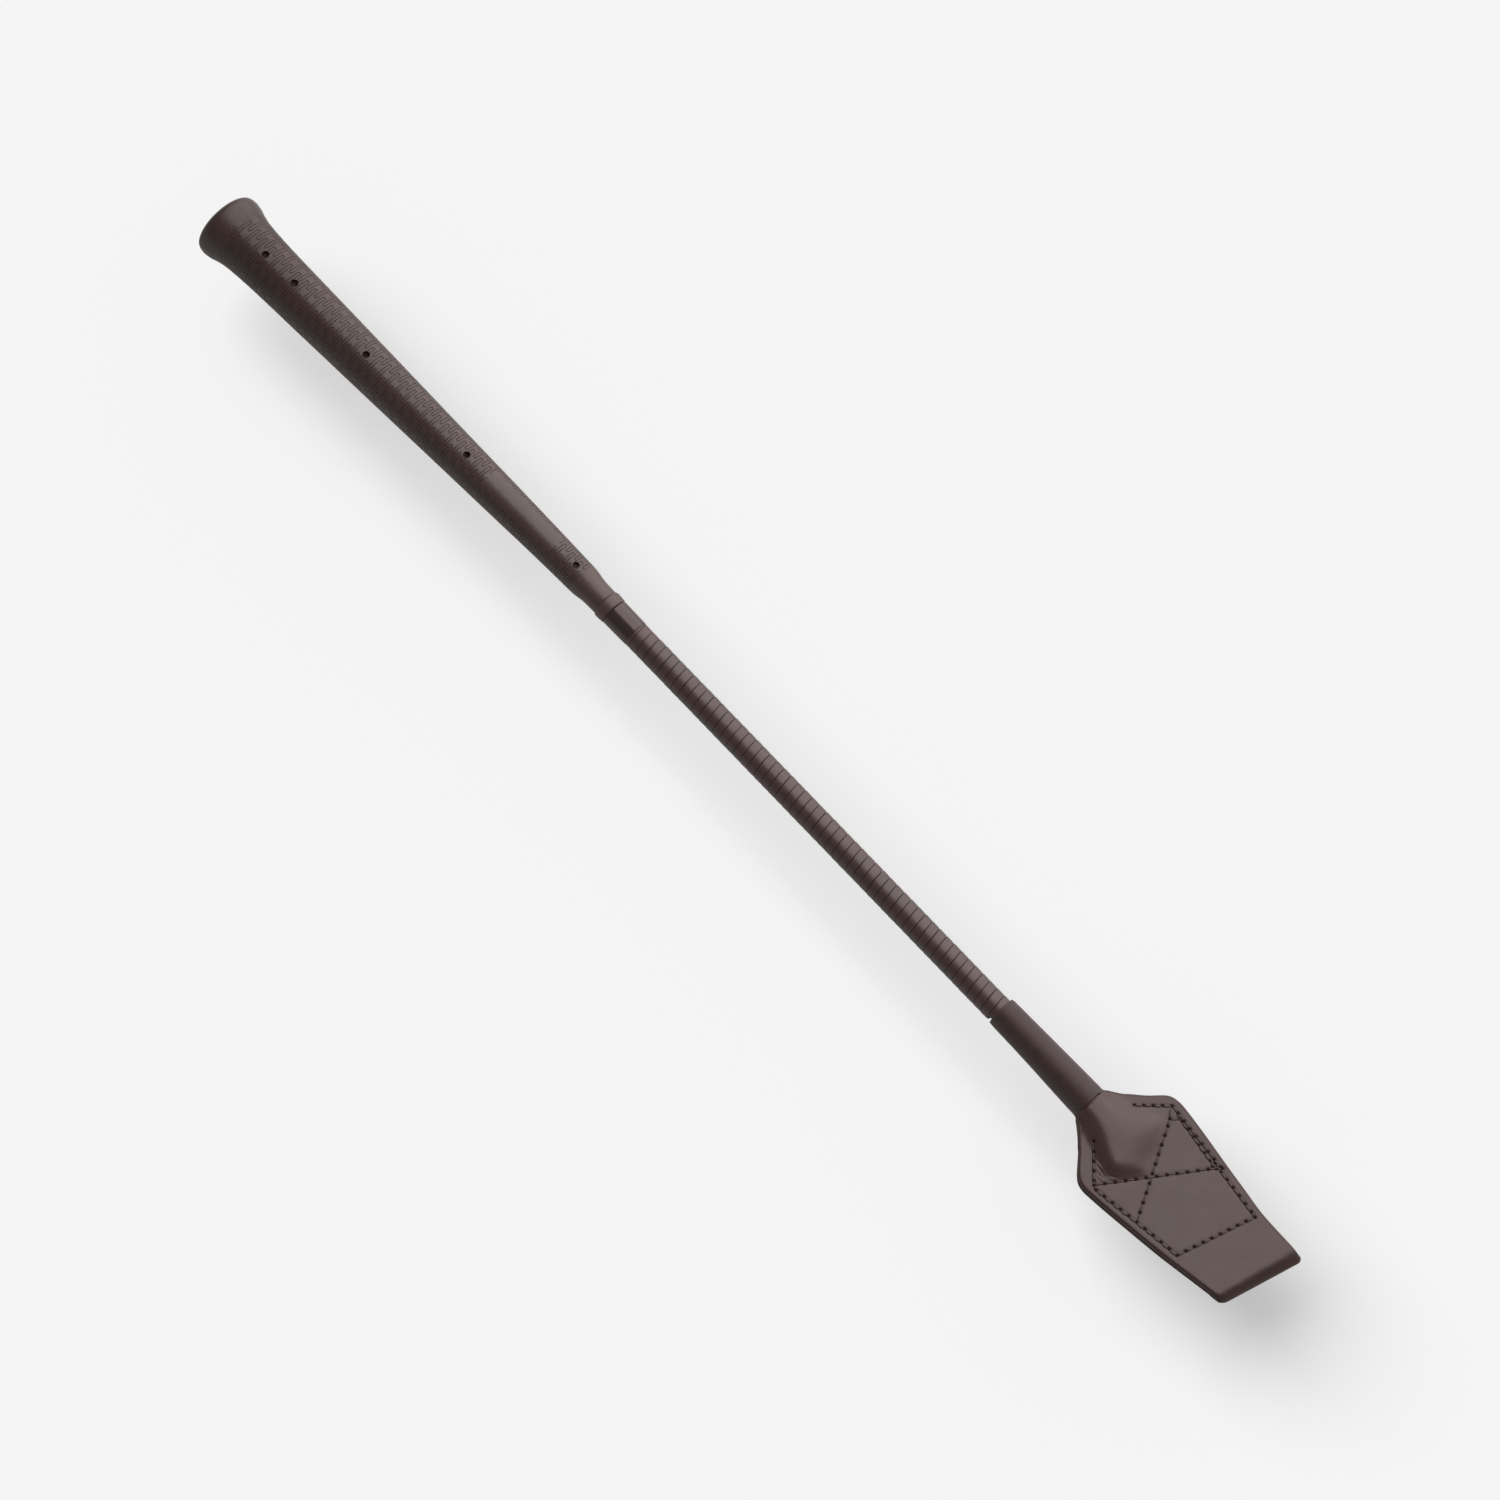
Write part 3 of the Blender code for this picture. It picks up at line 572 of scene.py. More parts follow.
def pad_cells():
    """The patterned skin, one cell to a pad: rows of x, degrees, depth share and end mark for its
    points (where painted shade darkens the slots' ends), then its quads and triangles."""
    along = np.linspace(-1.0, 1.0, PAD_STEPS + 1)
    zeros = np.zeros(PAD_STEPS + 1)
    side = np.ones(PAD_STEPS + 1)
    end = np.ones(3)
    across = np.array([0.5, 0.0, -0.5])
    # one turn round a cell: +X side, end, -X side, other end
    edge_x = np.concatenate([side, across, -side, -across])
    edge_turn = np.concatenate([along, end, -along, -end])
    near_end = smoothstep(0.80, 1.0, np.abs(along))
    near_end = np.concatenate([near_end, end, near_end, end])
    arc = np.radians([45.0, 0.0, -45.0])
    count = len(edge_x)
    half_count = count // 2
    step = np.arange(PAD_STEPS)

    cells, quads, tris = [], [], []
    first = 0
    for column in range(COLUMNS):
        x_middle = FIRST_COLUMN + PITCH * column
        radius = grip_radius(x_middle)
        odd = column % 2
        straight = math.radians(PAD_HALF_ANGLES[odd]) * radius - PAD_HALF_WIDTH
        for pad in range(PADS_ROUND):
            centre = odd * PAD_TURN / 2.0 + PAD_TURN * pad
            cells.append(
                [
                    x_middle + edge_x * PITCH / 2.0,
                    centre + edge_turn * PAD_TURN / 2.0,
                    np.zeros(count),
                    np.zeros(count),
                ]
            )
            for offset, share in GROOVE_SECTION:
                half = PAD_HALF_WIDTH + offset
                end_x = half * np.sin(arc)
                end_reach = straight + half * np.cos(arc)
                reach = np.concatenate(
                    [along * straight, end_reach, -along * straight, -end_reach]
                )
                cells.append(
                    [
                        x_middle + np.concatenate([half * side, end_x, -half * side, -end_x]),
                        centre + np.degrees(reach / radius),
                        np.full(count, share),
                        near_end * max(share, 0.0),
                    ]
                )
            cells.append(
                [
                    zeros + x_middle,
                    centre + np.degrees(along * straight / radius),
                    zeros + PAD_CROWN,
                    zeros,
                ]
            )
            quads.append(grid_faces(len(GROOVE_SECTION) + 1, count, True, first))
            last = first + len(GROOVE_SECTION) * count
            spine = last + count
            opposite = last + half_count
            back = spine + PAD_STEPS - step
            quads.append(
                np.stack([last + step, last + step + 1, spine + step + 1, spine + step], -1)
            )
            quads.append(np.stack([opposite + step, opposite + step + 1, back - 1, back], -1))
            for k in range(PAD_STEPS, half_count):
                tris.append([last + k, last + k + 1, spine + PAD_STEPS])
            for k in range(half_count + PAD_STEPS, count):
                tris.append([last + k, last + (k + 1) % count, spine])
            first = spine + PAD_STEPS + 1
    return np.concatenate(cells, axis=1), quads, tris


def build_grip():
    (x, degrees, share, pad_end_shade), quads, tris = pad_cells()
    full = groove_share(x, degrees)
    cut = share * full
    verts = grip_surface(x, degrees, cut * GROOVE_DEPTH)
    patterned = len(verts)

    butt = [(x, 0.0) for x in (*BUTT_STATIONS, PATTERN_START)]
    nose = [(x, 0.0) for x in (PATTERN_END, *NOSE_STATIONS)] + [(243.85, 0.03), (GRIP_END, 0.12)]
    cavity = [(x, wall_thickness(x)) for x in CAVITY_STATIONS]
    floor_radius = grip_radius(CAVITY_START) - wall_thickness(CAVITY_START)
    cavity_floor = [(floor_radius, 0.0), (floor_radius * 0.5, 0.0), (DISC_CENTRE, 0.0)]
    for rings in (
        sleeve_rings(butt),
        sleeve_rings(nose + cavity),
        disc_rings(0.0, [(grip_radius(0.0), 0.0), *BUTT_FACE]),
        disc_rings(CAVITY_START, cavity_floor),
    ):
        quads.append(grid_faces(len(rings) // ROUND_POINTS, ROUND_POINTS, True, len(verts)))
        verts = np.vstack([verts, rings])

    plain = np.zeros(len(verts) - patterned)
    obj = build_mesh(
        "grip_sleeve_rubber",
        verts,
        [np.concatenate(quads), np.array(tris)],
        RUBBER,
        {
            # marks for painted shade in the grooves, at the slots' ends and towards the butt, and
            # for a painted sheen on the nose
            "groove": np.concatenate([np.clip(cut, 0.0, 1.0), plain]),
            "slot_end_shade": np.concatenate([pad_end_shade * full, plain]),
            "nose": smoothstep(227.0, 234.0, verts[:, 0]),
            "butt_shade": BUTT_SHADE(verts[:, 0]),
        },
        weld=2e-3,
    )
    return outward(obj)


def is_closed(tree, x):
    """Whether a ray down a vent hole's axis still meets the grip's wall."""
    turn = math.radians(float(pattern_twist(x)))
    out = Vector((0.0, -math.sin(turn), math.cos(turn)))
    start = (Vector((x, float(axis_y(x)), 0.0)) + out * (grip_radius(x) + 5.0)) * MM
    hit = tree.ray_cast(start, -out)
    return hit[0] is not None and hit[3] < 6.5 * MM


def drill_grip(grip):
    """Cuts the vent holes, and cuts again with a turned cutter where a Boolean missed one."""
    left = list(VENT_HOLES)
    for attempt in range(6):
        cut_holes(grip, left, phase=0.137 + 0.23 * attempt)
        tree = BVHTree.FromPolygons(
            [vertex.co.copy() for vertex in grip.data.vertices],
            [tuple(face.vertices) for face in grip.data.polygons],
        )
        left = [hole for hole in left if is_closed(tree, hole[0])]
        if not left:
            break
    grip.data.shade_smooth()
    sharpen(grip, 50)


def build_cutter(holes, phase):
    """One mesh of round plugs that widen a little at the surface."""
    segments = 28
    angle = (np.arange(segments) + phase) * 2 * math.pi / segments
    points, faces = [], []
    for hole, (x, diameter) in enumerate(holes):
        radius = diameter / 2.0
        outer = grip_radius(x)
        profile = [  # height from the centreline, radius
            (outer - 4.2, 0.0),
            (outer - 4.2, radius),
            (outer - 0.40, radius),
            (outer - 0.15, radius + 0.03),
            (outer, radius + 0.10),
            (outer + 1.5, radius + 0.4),
            (outer + 1.5, 0.0),
        ]
        turn = math.radians(float(pattern_twist(x)))
        cos, sin = math.cos(turn), math.sin(turn)
        rotation = np.array([[1, 0, 0], [0, cos, -sin], [0, sin, cos]])
        for height, around in profile:
            ring = [around * np.cos(angle), around * np.sin(angle), np.full(segments, height)]
            points.append(np.stack(ring, -1) @ rotation.T + np.array([x, float(axis_y(x)), 0.0]))
        faces.append(grid_faces(len(profile), segments, True, hole * len(profile) * segments))
    cutter = build_mesh("hole_cutter", np.vstack(points), [np.vstack(faces)], RUBBER, weld=1e-4)
    return outward(cutter)


def cut_holes(grip, holes, phase):
    cutter = build_cutter(holes, phase)
    modifier = grip.modifiers.new("holes", "BOOLEAN")
    modifier.operation = "DIFFERENCE"
    modifier.solver = "EXACT"
    modifier.object = cutter
    graph = bpy.context.evaluated_depsgraph_get()
    mesh = bpy.data.meshes.new_from_object(
        grip.evaluated_get(graph), preserve_all_data_layers=True, depsgraph=graph
    )
    grip.modifiers.clear()
    old = grip.data
    grip.data = mesh
    bpy.data.meshes.remove(old)
    bpy.data.objects.remove(cutter)


grip = build_grip()
drill_grip(grip)
finish_rigid(grip, "grip_sleeve")

# ------------------------------------------------------------------ end ring and ferrule

LATHE_SEGMENTS = 112
RING_PROFILE = [  # x, radius
    (244.05, 5.3), (244.05, 6.15), (244.1, 6.40), (244.3, 6.62), (244.7, 6.79), (245.5, 6.86),
    (246.4, 6.84), (247.6, 6.76), (248.6, 6.68), (249.2, 6.60), (249.5, 6.45), (249.6, 6.25),
    (249.6, 5.3),
]
FERRULE_PROFILE = [  # x, radius
    (232.0, 3.9), (232.0, 4.7), (249.7, 4.7), (249.75, 6.2), (249.9, 6.38), (250.2, 6.47),
    (251.0, 6.47), (254.0, 6.44), (258.0, 6.39), (261.5, 6.34), (262.8, 6.31), (263.15, 6.25),
    (263.3, 6.1), (263.3, 3.9),
]


def lathe_ring(name, profile, material, sharp_degrees):
    """Revolves an outline of (x, radius) points, closed on itself, about the centreline."""
    profile = np.array(profile + profile[:1], float)
    angle = np.arange(LATHE_SEGMENTS) * 2 * math.pi / LATHE_SEGMENTS
    x = np.repeat(profile[:, :1], LATHE_SEGMENTS, 1)
    radius = np.repeat(profile[:, 1:], LATHE_SEGMENTS, 1)
    verts = np.stack([x, axis_y(x) + radius * np.cos(angle), radius * np.sin(angle)], -1)
    faces = grid_faces(len(profile), LATHE_SEGMENTS, close_cols=True)
    obj = outward(build_mesh(name, verts.reshape(-1, 3), [faces], material, weld=1e-4))
    sharpen(obj, sharp_degrees)
    return obj


ring = lathe_ring("grip_end_ring_rubber", RING_PROFILE, RING_RUBBER, sharp_degrees=40)
finish_rigid(ring, "grip_end_ring")
ferrule = lathe_ring("neck_ferrule_lacquer", FERRULE_PROFILE, LACQUER, sharp_degrees=35)
finish_rigid(ferrule, "neck_ferrule")

# ------------------------------------------------------------------ spiral ribbon

RIBBON_PITCH = 4.352
RIBBON_SEAM = 267.03  # where the first seam crosses the +Y side
RIBBON_LAST = 489.6
RIBBON_TRIM = (263.34, 490.5)  # both ends are cut square to the shaft here
RIBBON_STEPS = 56  # mesh steps in a turn
RIBBON_UNDERSIDE = 5.5  # points inside this radius don't follow the surface's unevenness
RIBBON_SECTION = np.array(
    [  # along X from the ribbon's middle, radius, how much it is an edge that takes painted shade
        (-2.14, 5.30, 1.0), (-2.16, 5.84, 1.0), (-2.08, 6.02, 0.7), (-1.98, 6.11, 0.25),
        (-1.84, 6.15, 0.0), (-1.2, 6.14, 0.0), (-0.4, 6.12, 0.0), (0.5, 6.10, 0.0),
        (1.3, 6.07, 0.0), (1.80, 6.04, 0.0), (1.96, 6.00, 0.25), (2.07, 5.92, 0.7),
        (2.15, 5.80, 1.0), (2.15, 5.30, 1.0),
    ]
)


def build_ribbon():
    across, height, edge = RIBBON_SECTION.T
    first = RIBBON_SEAM - 1.5 * RIBBON_PITCH + 0.8
    turns = (RIBBON_LAST - first) / RIBBON_PITCH
    step = np.arange(int(turns * RIBBON_STEPS) + 1)
    angle = 2 * math.pi * step / RIBBON_STEPS
    # slight unevenness of the winding, along the shaft and in height
    wander = 0.018 * np.sin(0.37 * angle + 0.6) + 0.014 * np.sin(0.131 * angle + 2.0)
    lift = 0.014 * np.sin(0.83 * angle) + 0.014 * np.sin(0.29 * angle + 1.0)
    x = (first + RIBBON_PITCH * step / RIBBON_STEPS + wander)[:, None] + across[None]
    x = np.clip(x, *RIBBON_TRIM)
    radius = height[None] + lift[:, None] * (height[None] > RIBBON_UNDERSIDE)
    rings = [x, radius * np.cos(angle)[:, None], radius * np.sin(angle)[:, None]]
    # edge mark: where the material paints shade in the seams
    edges = np.tile(edge, len(step))
    return capped_tube("spiral_ribbon_wrap", np.stack(rings, -1), RIBBON, {"edge": edges})


finish_rigid(build_ribbon(), "spiral_ribbon")

# ------------------------------------------------------------------ binding of cord

BINDING_START, BINDING_END = 489.2, 543.3
CORD_PITCH = 0.54
CORD_RADIUS = 0.37
CORD_SIDES, CORD_STEPS = 8, 40  # points round the cord, mesh steps in a turn
BINDING_RADIUS = curve_through(
    [  # x, outer radius
        (489.0, 6.75), (490.2, 7.0), (492.0, 7.1), (500.0, 7.22), (515.0, 7.52), (531.0, 7.92),
        (540.0, 8.1), (543.4, 8.12),
    ]
)


def build_binding():
    turns = (BINDING_END - BINDING_START - CORD_PITCH) / CORD_PITCH
    step = np.arange(int(turns * CORD_STEPS) + 1)
    angle = 2 * math.pi * step / CORD_STEPS
    # slight unevenness of the winding, along the shaft and in height
    wander = 0.02 * np.sin(0.21 * angle + 0.4) + 0.015 * np.sin(0.071 * angle)
    proud = 0.012 * np.sin(0.47 * angle + 1.3) + 0.012 * np.sin(1.13 * angle)
    x = BINDING_START + CORD_PITCH / 2 + CORD_PITCH * step / CORD_STEPS + wander
    radius = BINDING_RADIUS(x) - CORD_RADIUS + proud
    # the binding's middle lies a little towards +Y
    middle = 0.30 * (1 - smoothstep(505.0, 545.0, x)) + 0.12
    around = 2 * math.pi * np.arange(CORD_SIDES) / CORD_SIDES
    # three twisted plies
    ply = 1.0 + 0.05 * np.cos(3.0 * (around[None] - (angle * 9.0)[:, None]))
    cord_x = x[:, None] + CORD_RADIUS * ply * np.cos(around)[None]
    cord_radius = radius[:, None] + CORD_RADIUS * ply * np.sin(around)[None]
    cord_y = middle[:, None] + cord_radius * np.cos(angle)[:, None]
    cord_z = cord_radius * np.sin(angle)[:, None]
    return capped_tube("binding_cord_wound", np.stack([cord_x, cord_y, cord_z], -1), CORD)


finish_rigid(build_binding(), "binding_thread")

# ------------------------------------------------------------------ leather flap: outline

FLAP_START = 536.0
FLAT_HEIGHT = 3.25  # each face of the flat flap above its middle layer
UPPER = curve_through(
    [  # x, half width on the +Y side
        (530.0, 6.8), (541.0, 7.2), (543.0, 7.6), (544.5, 9.0), (546.2, 10.4), (547.8, 11.6),
        (549.5, 12.9), (551.1, 14.5), (552.8, 16.2), (554.6, 17.8), (556.2, 19.3), (557.9, 21.05),
        (559.5, 22.9), (561.1, 24.75), (562.8, 26.45), (564.4, 27.5), (566.1, 28.05),
        (567.8, 28.3), (569.4, 28.38), (571.1, 28.3), (574.4, 27.95), (581.0, 27.1), (589.4, 25.8),
        (601.8, 23.8), (614.2, 21.9), (621.5, 20.75), (626.5, 20.15), (634.8, 19.85),
        (655.0, 19.3),
    ]
)
LOWER = curve_through(
    [  # x, half width on the -Y side
        (530.0, 6.8), (541.0, 7.2), (543.0, 7.6), (544.8, 9.2), (546.5, 10.7), (548.2, 12.1),
        (549.8, 13.5), (551.5, 15.1), (553.2, 16.8), (554.8, 18.2), (556.4, 20.0), (558.1, 21.95),
        (559.8, 23.85), (561.5, 25.6), (563.2, 26.95), (564.8, 27.7), (566.5, 28.08),
        (568.1, 28.2), (571.4, 28.0), (576.4, 27.55), (585.5, 26.6), (593.7, 25.65),
        (601.9, 24.65), (610.1, 23.55), (618.3, 22.25), (626.5, 20.9), (634.7, 19.5),
        (650.0, 16.7),
    ]
)
TIP_X, TIP_SLANT = 645.9, 0.272  # the tip's x on the centreline, and its rise in x per unit of y
STITCH_ROWS = [  # from, to, number of stitches, how far each bows sideways
    ((556.4, 13.0), (567.5, 24.5), 4, -0.20),
    ((567.5, 24.5), (599.6, 20.9), 8, 0.15),
    ((571.2, 23.6), (598.9, 19.1), 7, -0.20),
    ((567.5, 24.5), (570.8, 19.8), 1, -0.35),
    ((573.6, 23.1), (570.8, 19.8), 1, 0.30),
    ((570.8, 19.8), (572.5, 16.9), 1, 0.0),
    ((572.5, 16.9), (592.3, -22.3), 10, 0.18),
    ((599.4, 20.1), (569.2, -24.4), 12, -0.18),
    ((597.0, 20.6), (601.2, 19.8), 1, 0.35),
    ((597.6, 18.7), (600.6, 21.2), 1, 0.0),
    ((601.2, 19.8), (621.9, 17.0), 5, -0.15),
    ((621.9, 17.0), (624.4, 16.5), 1, 0.0),
    ((624.4, 16.5), (613.6, -19.6), 9, 0.20),
    ((613.6, -19.6), (592.3, -22.3), 5, 0.32),
    ((592.3, -22.3), (571.2, -25.3), 5, 0.32),
    ((571.2, -25.3), (569.2, -24.4), 1, 0.0),
    ((569.2, -24.4), (567.8, -23.2), 1, 0.0),
    ((567.8, -23.2), (556.0, -11.4), 4, 0.22),
]
CREASES = [  # from, to, depth, half width: puckers by the -Y seam, and two soft folds
    ((561.4, -15.6), (566.6, -16.2), 0.22, 0.45),
    ((563.4, -17.1), (570.2, -18.9), 0.27, 0.38),
    ((565.9, -19.5), (570.6, -19.6), 0.22, 0.42),
    ((567.4, -21.3), (571.4, -21.1), 0.18, 0.34),
    ((570.0, -17.4), (574.0, -14.6), 0.18, 0.45),
    ((560.5, 13.8), (566.0, 18.4), 0.12, 0.7),
]


def half_width(x, y):
    return np.where(y > 0, UPPER(x), LOWER(x))


def to_segment(x, y, start, end):
    """Distance to a segment, and the share along it."""
    span = np.array(end, float) - np.array(start, float)
    t = ((x - start[0]) * span[0] + (y - start[1]) * span[1]) / (span @ span)
    t = np.clip(t, 0, 1)
    return np.hypot(x - start[0] - t * span[0], y - start[1] - t * span[1]), t


# ------------------------------------------------------------------ leather flap: heights

BULGE_FOOT = [  # x, y: where the moulded bulge over the rod's end meets the flat leather
    (536, -8.4), (543, -8.6), (548, -9.8), (553, -11.6), (558, -13.6), (563, -15.6), (567, -17.0),
    (570.5, -17.6), (573.6, -15.6), (577, -11.0), (580.2, -6.6), (581.6, -3.6), (580.6, -0.2),
    (578.0, 5.5), (575.0, 11.0), (572.0, 15.5), (569.0, 18.3), (565.5, 18.0), (561, 15.8),
    (556, 13.2), (551, 11.2), (546, 9.4), (543, 8.6), (536, 8.4),
]
BULGE_SLOPES = [  # first side of the foot, one past the last, reach of the slope, its power
    (0, 8, 6.8, 1.3),  # steep along the -Y side
    (8, 12, 7.0, 1.15),  # the rod's end
    (12, 23, 17.0, 1.0),  # long and gentle down to the +Y seam
]
BULGE_CROWN = curve_through(
    [  # x, height of the bulge's top
        (536, 7.9), (543, 8.05), (550, 8.15), (558, 8.1), (564, 7.75), (569, 7.1), (573, 6.4),
        (577, 5.6), (580, 5.0), (583, 4.3),
    ]
)
ROD_COVER_RADIUS = 8.05  # leather over the rod
NECK_END = 543.6  # up to here the leather is only a round neck
SMOOTHING_PASSES = 14


def neck_height(x, y):
    """Height of the round neck at the flap's start."""
    crown = 7.35 + 0.65 * smoothstep(542.6, 544.9, x)
    return 0.7 + (crown - 0.7) * np.sqrt(np.clip(1 - (y / half_width(x, y)) ** 2, 0, 1))


def bulge_rise(x, y):
    """How far the bulge has risen, from 0 outside its foot to 1 on its crown."""
    inside = np.zeros(x.shape, bool)
    away = []
    for first, last, _, _ in BULGE_SLOPES:
        nearest = np.full(x.shape, 1e9)
        for start, end in zip(BULGE_FOOT[first:last], BULGE_FOOT[first + 1 : last + 1]):
            (x0, y0), (x1, y1) = start, end
            inside ^= ((y0 > y) != (y1 > y)) & (x < (x1 - x0) * (y - y0) / (y1 - y0) + x0)
            nearest = np.minimum(nearest, to_segment(x, y, start, end)[0])
        away.append(nearest)
    # a soft minimum of the three slopes
    total = np.zeros(x.shape)
    for distance, (_, _, reach, power) in zip(away, BULGE_SLOPES):
        t = np.clip(np.where(inside, distance, 0.0) / reach, 0, 1)
        total += (np.sin(0.5 * math.pi * t) ** power + 1e-6) ** -4.0
    return np.clip((total / 3.0) ** -0.25, 0, 1)


def solve_relief():
    """Height of the leather over the flap's middle layer: flat, with the bulge over the rod."""
    xs = np.arange(FLAP_START, 592.01, 0.5)
    ys = np.arange(-30.0, 30.01, 0.5)
    x, y = np.meshgrid(xs, ys, indexing="ij")
    near_neck = 1 - smoothstep(543.0, 553.0, x)
    neck = neck_height(x, y)
    low = FLAT_HEIGHT * (1 - near_neck) + np.minimum(FLAT_HEIGHT, neck) * near_neck
    height = low + (BULGE_CROWN(x) - low) * bulge_rise(x, y)
    # rounded like the rod near the neck, flatter and wider further out
    rounding = 0.012 * (1 - smoothstep(552, 572, x))
    height = height - rounding * np.minimum(np.abs(y), 8.0) ** 2 * (1 - near_neck)
    tube = np.sqrt(np.clip(ROD_COVER_RADIUS**2 - y**2, 0, None))
    height = np.maximum(height, tube * (1 - smoothstep(560, 566, x)))
    height = np.where(x <= NECK_END, neck, height)
    smoothed = (x > 544.0) & (x < 591.0) & (np.abs(y) < half_width(x, y) - 0.6)
    for _ in range(SMOOTHING_PASSES):
        average = 0.25 * (
            np.roll(height, 1, 0)
            + np.roll(height, -1, 0)
            + np.roll(height, 1, 1)
            + np.roll(height, -1, 1)
        )
        height = np.where(smoothed, average, height)
    return xs, ys, height


RELIEF = solve_relief()


def relief_height(x, y):
    """The relief between its grid points, with the neck before it and the flat leather after."""
    xs, ys, grid = RELIEF
    across = np.clip((x - xs[0]) / (xs[1] - xs[0]), 0, len(xs) - 1.001)
    up = np.clip((y - ys[0]) / (ys[1] - ys[0]), 0, len(ys) - 1.001)
    i, j = across.astype(int), up.astype(int)
    u, v = across - i, up - j
    near = grid[i, j] * (1 - u) + grid[i + 1, j] * u
    far = grid[i, j + 1] * (1 - u) + grid[i + 1, j + 1] * u
    height = near * (1 - v) + far * v
    flat = smoothstep(588.0, 591.0, x)
    height = height * (1 - flat) + FLAT_HEIGHT * flat
    neck = 1.0 - smoothstep(542.0, 544.5, x)
    return height * (1 - neck) + neck_height(x, y) * neck


def row_points(start, end, count):
    t = np.linspace(0, 1, count + 1)[:, None]
    return np.array(start)[None] * (1 - t) + np.array(end)[None] * t


def find_needle_holes():
    """Every needle hole once, as x, y and the direction of its row."""
    holes = []
    for start, end, count, _ in STITCH_ROWS:
        along = np.array(end) - np.array(start)
        along = along / np.hypot(*along)
        for x, y in row_points(start, end, count):
            if all(np.hypot(x - hole[0], y - hole[1]) > 0.7 for hole in holes):
                holes.append((x, y, *along))
    return np.array(holes)


NEEDLE_HOLES = find_needle_holes()
HOLE_DEPTH = 0.55
HOLE_HALF_LENGTH, HOLE_HALF_WIDTH = 0.78, 0.58  # along and across the row
SEAM_DEPTH, SEAM_HALF_WIDTH = 0.20, 1.1  # how the thread pulls the leather down along each row


def leather_face(x, y, side):
    """Height, hole mark and painted-shade mark of a face of the flap: side +1 is the +Z face."""
    height = relief_height(x, y)
    hole = np.zeros_like(height)
    pull = np.zeros_like(height)
    for start, end, _, _ in STITCH_ROWS:
        distance, _ = to_segment(x, y, start, end)
        pull = np.maximum(pull, np.exp(-((distance / SEAM_HALF_WIDTH) ** 2)))
    height = height - SEAM_DEPTH * pull
    # painted shade in the hollow along each stitched row
    crease_shade = 0.44 * pull
    for hole_x, hole_y, along_x, along_y in NEEDLE_HOLES:
        along = (x - hole_x) * along_x + (y - hole_y) * along_y
        across = (x - hole_x) * along_y - (y - hole_y) * along_x
        away = (along / HOLE_HALF_LENGTH) ** 2 + (across / HOLE_HALF_WIDTH) ** 2
        near = away < 12.0
        if near.any():
            height[near] -= HOLE_DEPTH * np.exp(-((away[near]) ** 1.3))
            # hole mark: where the needle hole is filled with painted shade
            hole[near] = np.maximum(hole[near], np.exp(-((away[near] / 1.15) ** 2.2)))
    if side > 0:
        for start, end, depth, wide in CREASES:
            distance, t = to_segment(x, y, start, end)
            fade = np.sin(math.pi * np.clip(t, 0.02, 0.98))
            furrow = np.exp(-((distance / wide) ** 2)) * fade
            # leather pushed up beside the furrow
            ridge = np.exp(-(((distance - 1.9 * wide) / (1.1 * wide)) ** 2)) * fade
            height = height - depth * furrow + 0.35 * depth * ridge
            # painted shade in the furrow
            crease_shade = np.maximum(crease_shade, 0.8 * furrow * depth / 0.34)
    # slow unevenness of hand-cut leather
    height = (
        height
        + 0.07 * np.sin(0.19 * x + 0.8 * side) * np.sin(0.23 * y + 0.5)
        + 0.04 * np.sin(0.41 * x + 1.9) * np.sin(0.37 * y + side)
    )
    return height, hole, crease_shade


# ------------------------------------------------------------------ leather flap: mesh

FLAP_ROWS = 312
FRONT_COLUMNS, BACK_COLUMNS = 150, 70
EDGE_BAND = 1.0  # width of the rounded cut edge
EDGE_TRACKS = [  # inset from the outline, share of the height, extra recess, edge mark
    (0.0, 0.0, 0.55, 1.0),  # the seam between the two layers
    (0.0, 0.10, 0.0, 1.0),
    (0.0, 0.45, 0.0, 1.0),
    (0.0, 0.75, 0.0, 1.0),
    (0.10, 0.88, 0.0, 0.8),
    (0.32, 0.97, 0.0, 0.35),
    (0.70, 1.0, 0.0, 0.35),
]
CORNER_RADIUS, CORNER_CUT = 2.6, 1.5  # where the tip's corners start to round, and how far
FOLD_STEPS = 18
FOLD_PLACES = np.append(np.arange(16) / FOLD_STEPS, [0.91, 0.988, 1.0])  # closer at the end
FOLD_HEIGHT = curve_through(
    [  # share of the way across the fold, share of the height left
        (0.0, 1.0), (0.1, 0.992), (0.2, 0.967), (0.3, 0.92), (0.4, 0.85), (0.5, 0.76),
        (0.6, 0.655), (0.7, 0.54), (0.8, 0.415), (0.89, 0.29), (0.955, 0.17), (1.0, 0.0),
    ]
)


def fold_reach(y):
    """How far the leather's turn at the tip reaches back from its edge: a little askew."""
    return 6.5 + 0.055 * y + 0.10 * np.sin(0.36 * y + 0.8) + 0.06 * np.sin(0.83 * y)


def tip_half_width(sign):
    return float(UPPER(646.0)) if sign > 0 else float(LOWER(641.0))


def track_x(tip_y, tip_width):
    """x along a lengthwise track, from the flap's start to where the tip's fold begins."""
    corner = max(0.0, (abs(tip_y) - (tip_width - CORNER_RADIUS)) / CORNER_RADIUS)
    x_tip = TIP_X + TIP_SLANT * tip_y - CORNER_CUT * corner**2.2
    share = np.linspace(0.0, 1.0, FLAP_ROWS)
    return FLAP_START + share * (x_tip - fold_reach(tip_y) - FLAP_START)


def edge_track(sign, side, inset, share, recess, mark):
    """A track on the cut edge: x, y, z, edge, hole and painted shade."""
    tip_width = tip_half_width(sign)
    x = track_x(sign * (tip_width - inset), tip_width)
    outline = UPPER(x) if sign > 0 else LOWER(x)
    reach = outline - inset
    top, _, _ = leather_face(x, sign * (reach + inset - EDGE_BAND), side)
    nothing = np.zeros(FLAP_ROWS)
    y = sign * (reach - recess)
    return x, y, side * (top * share), np.full(FLAP_ROWS, mark), nothing, nothing


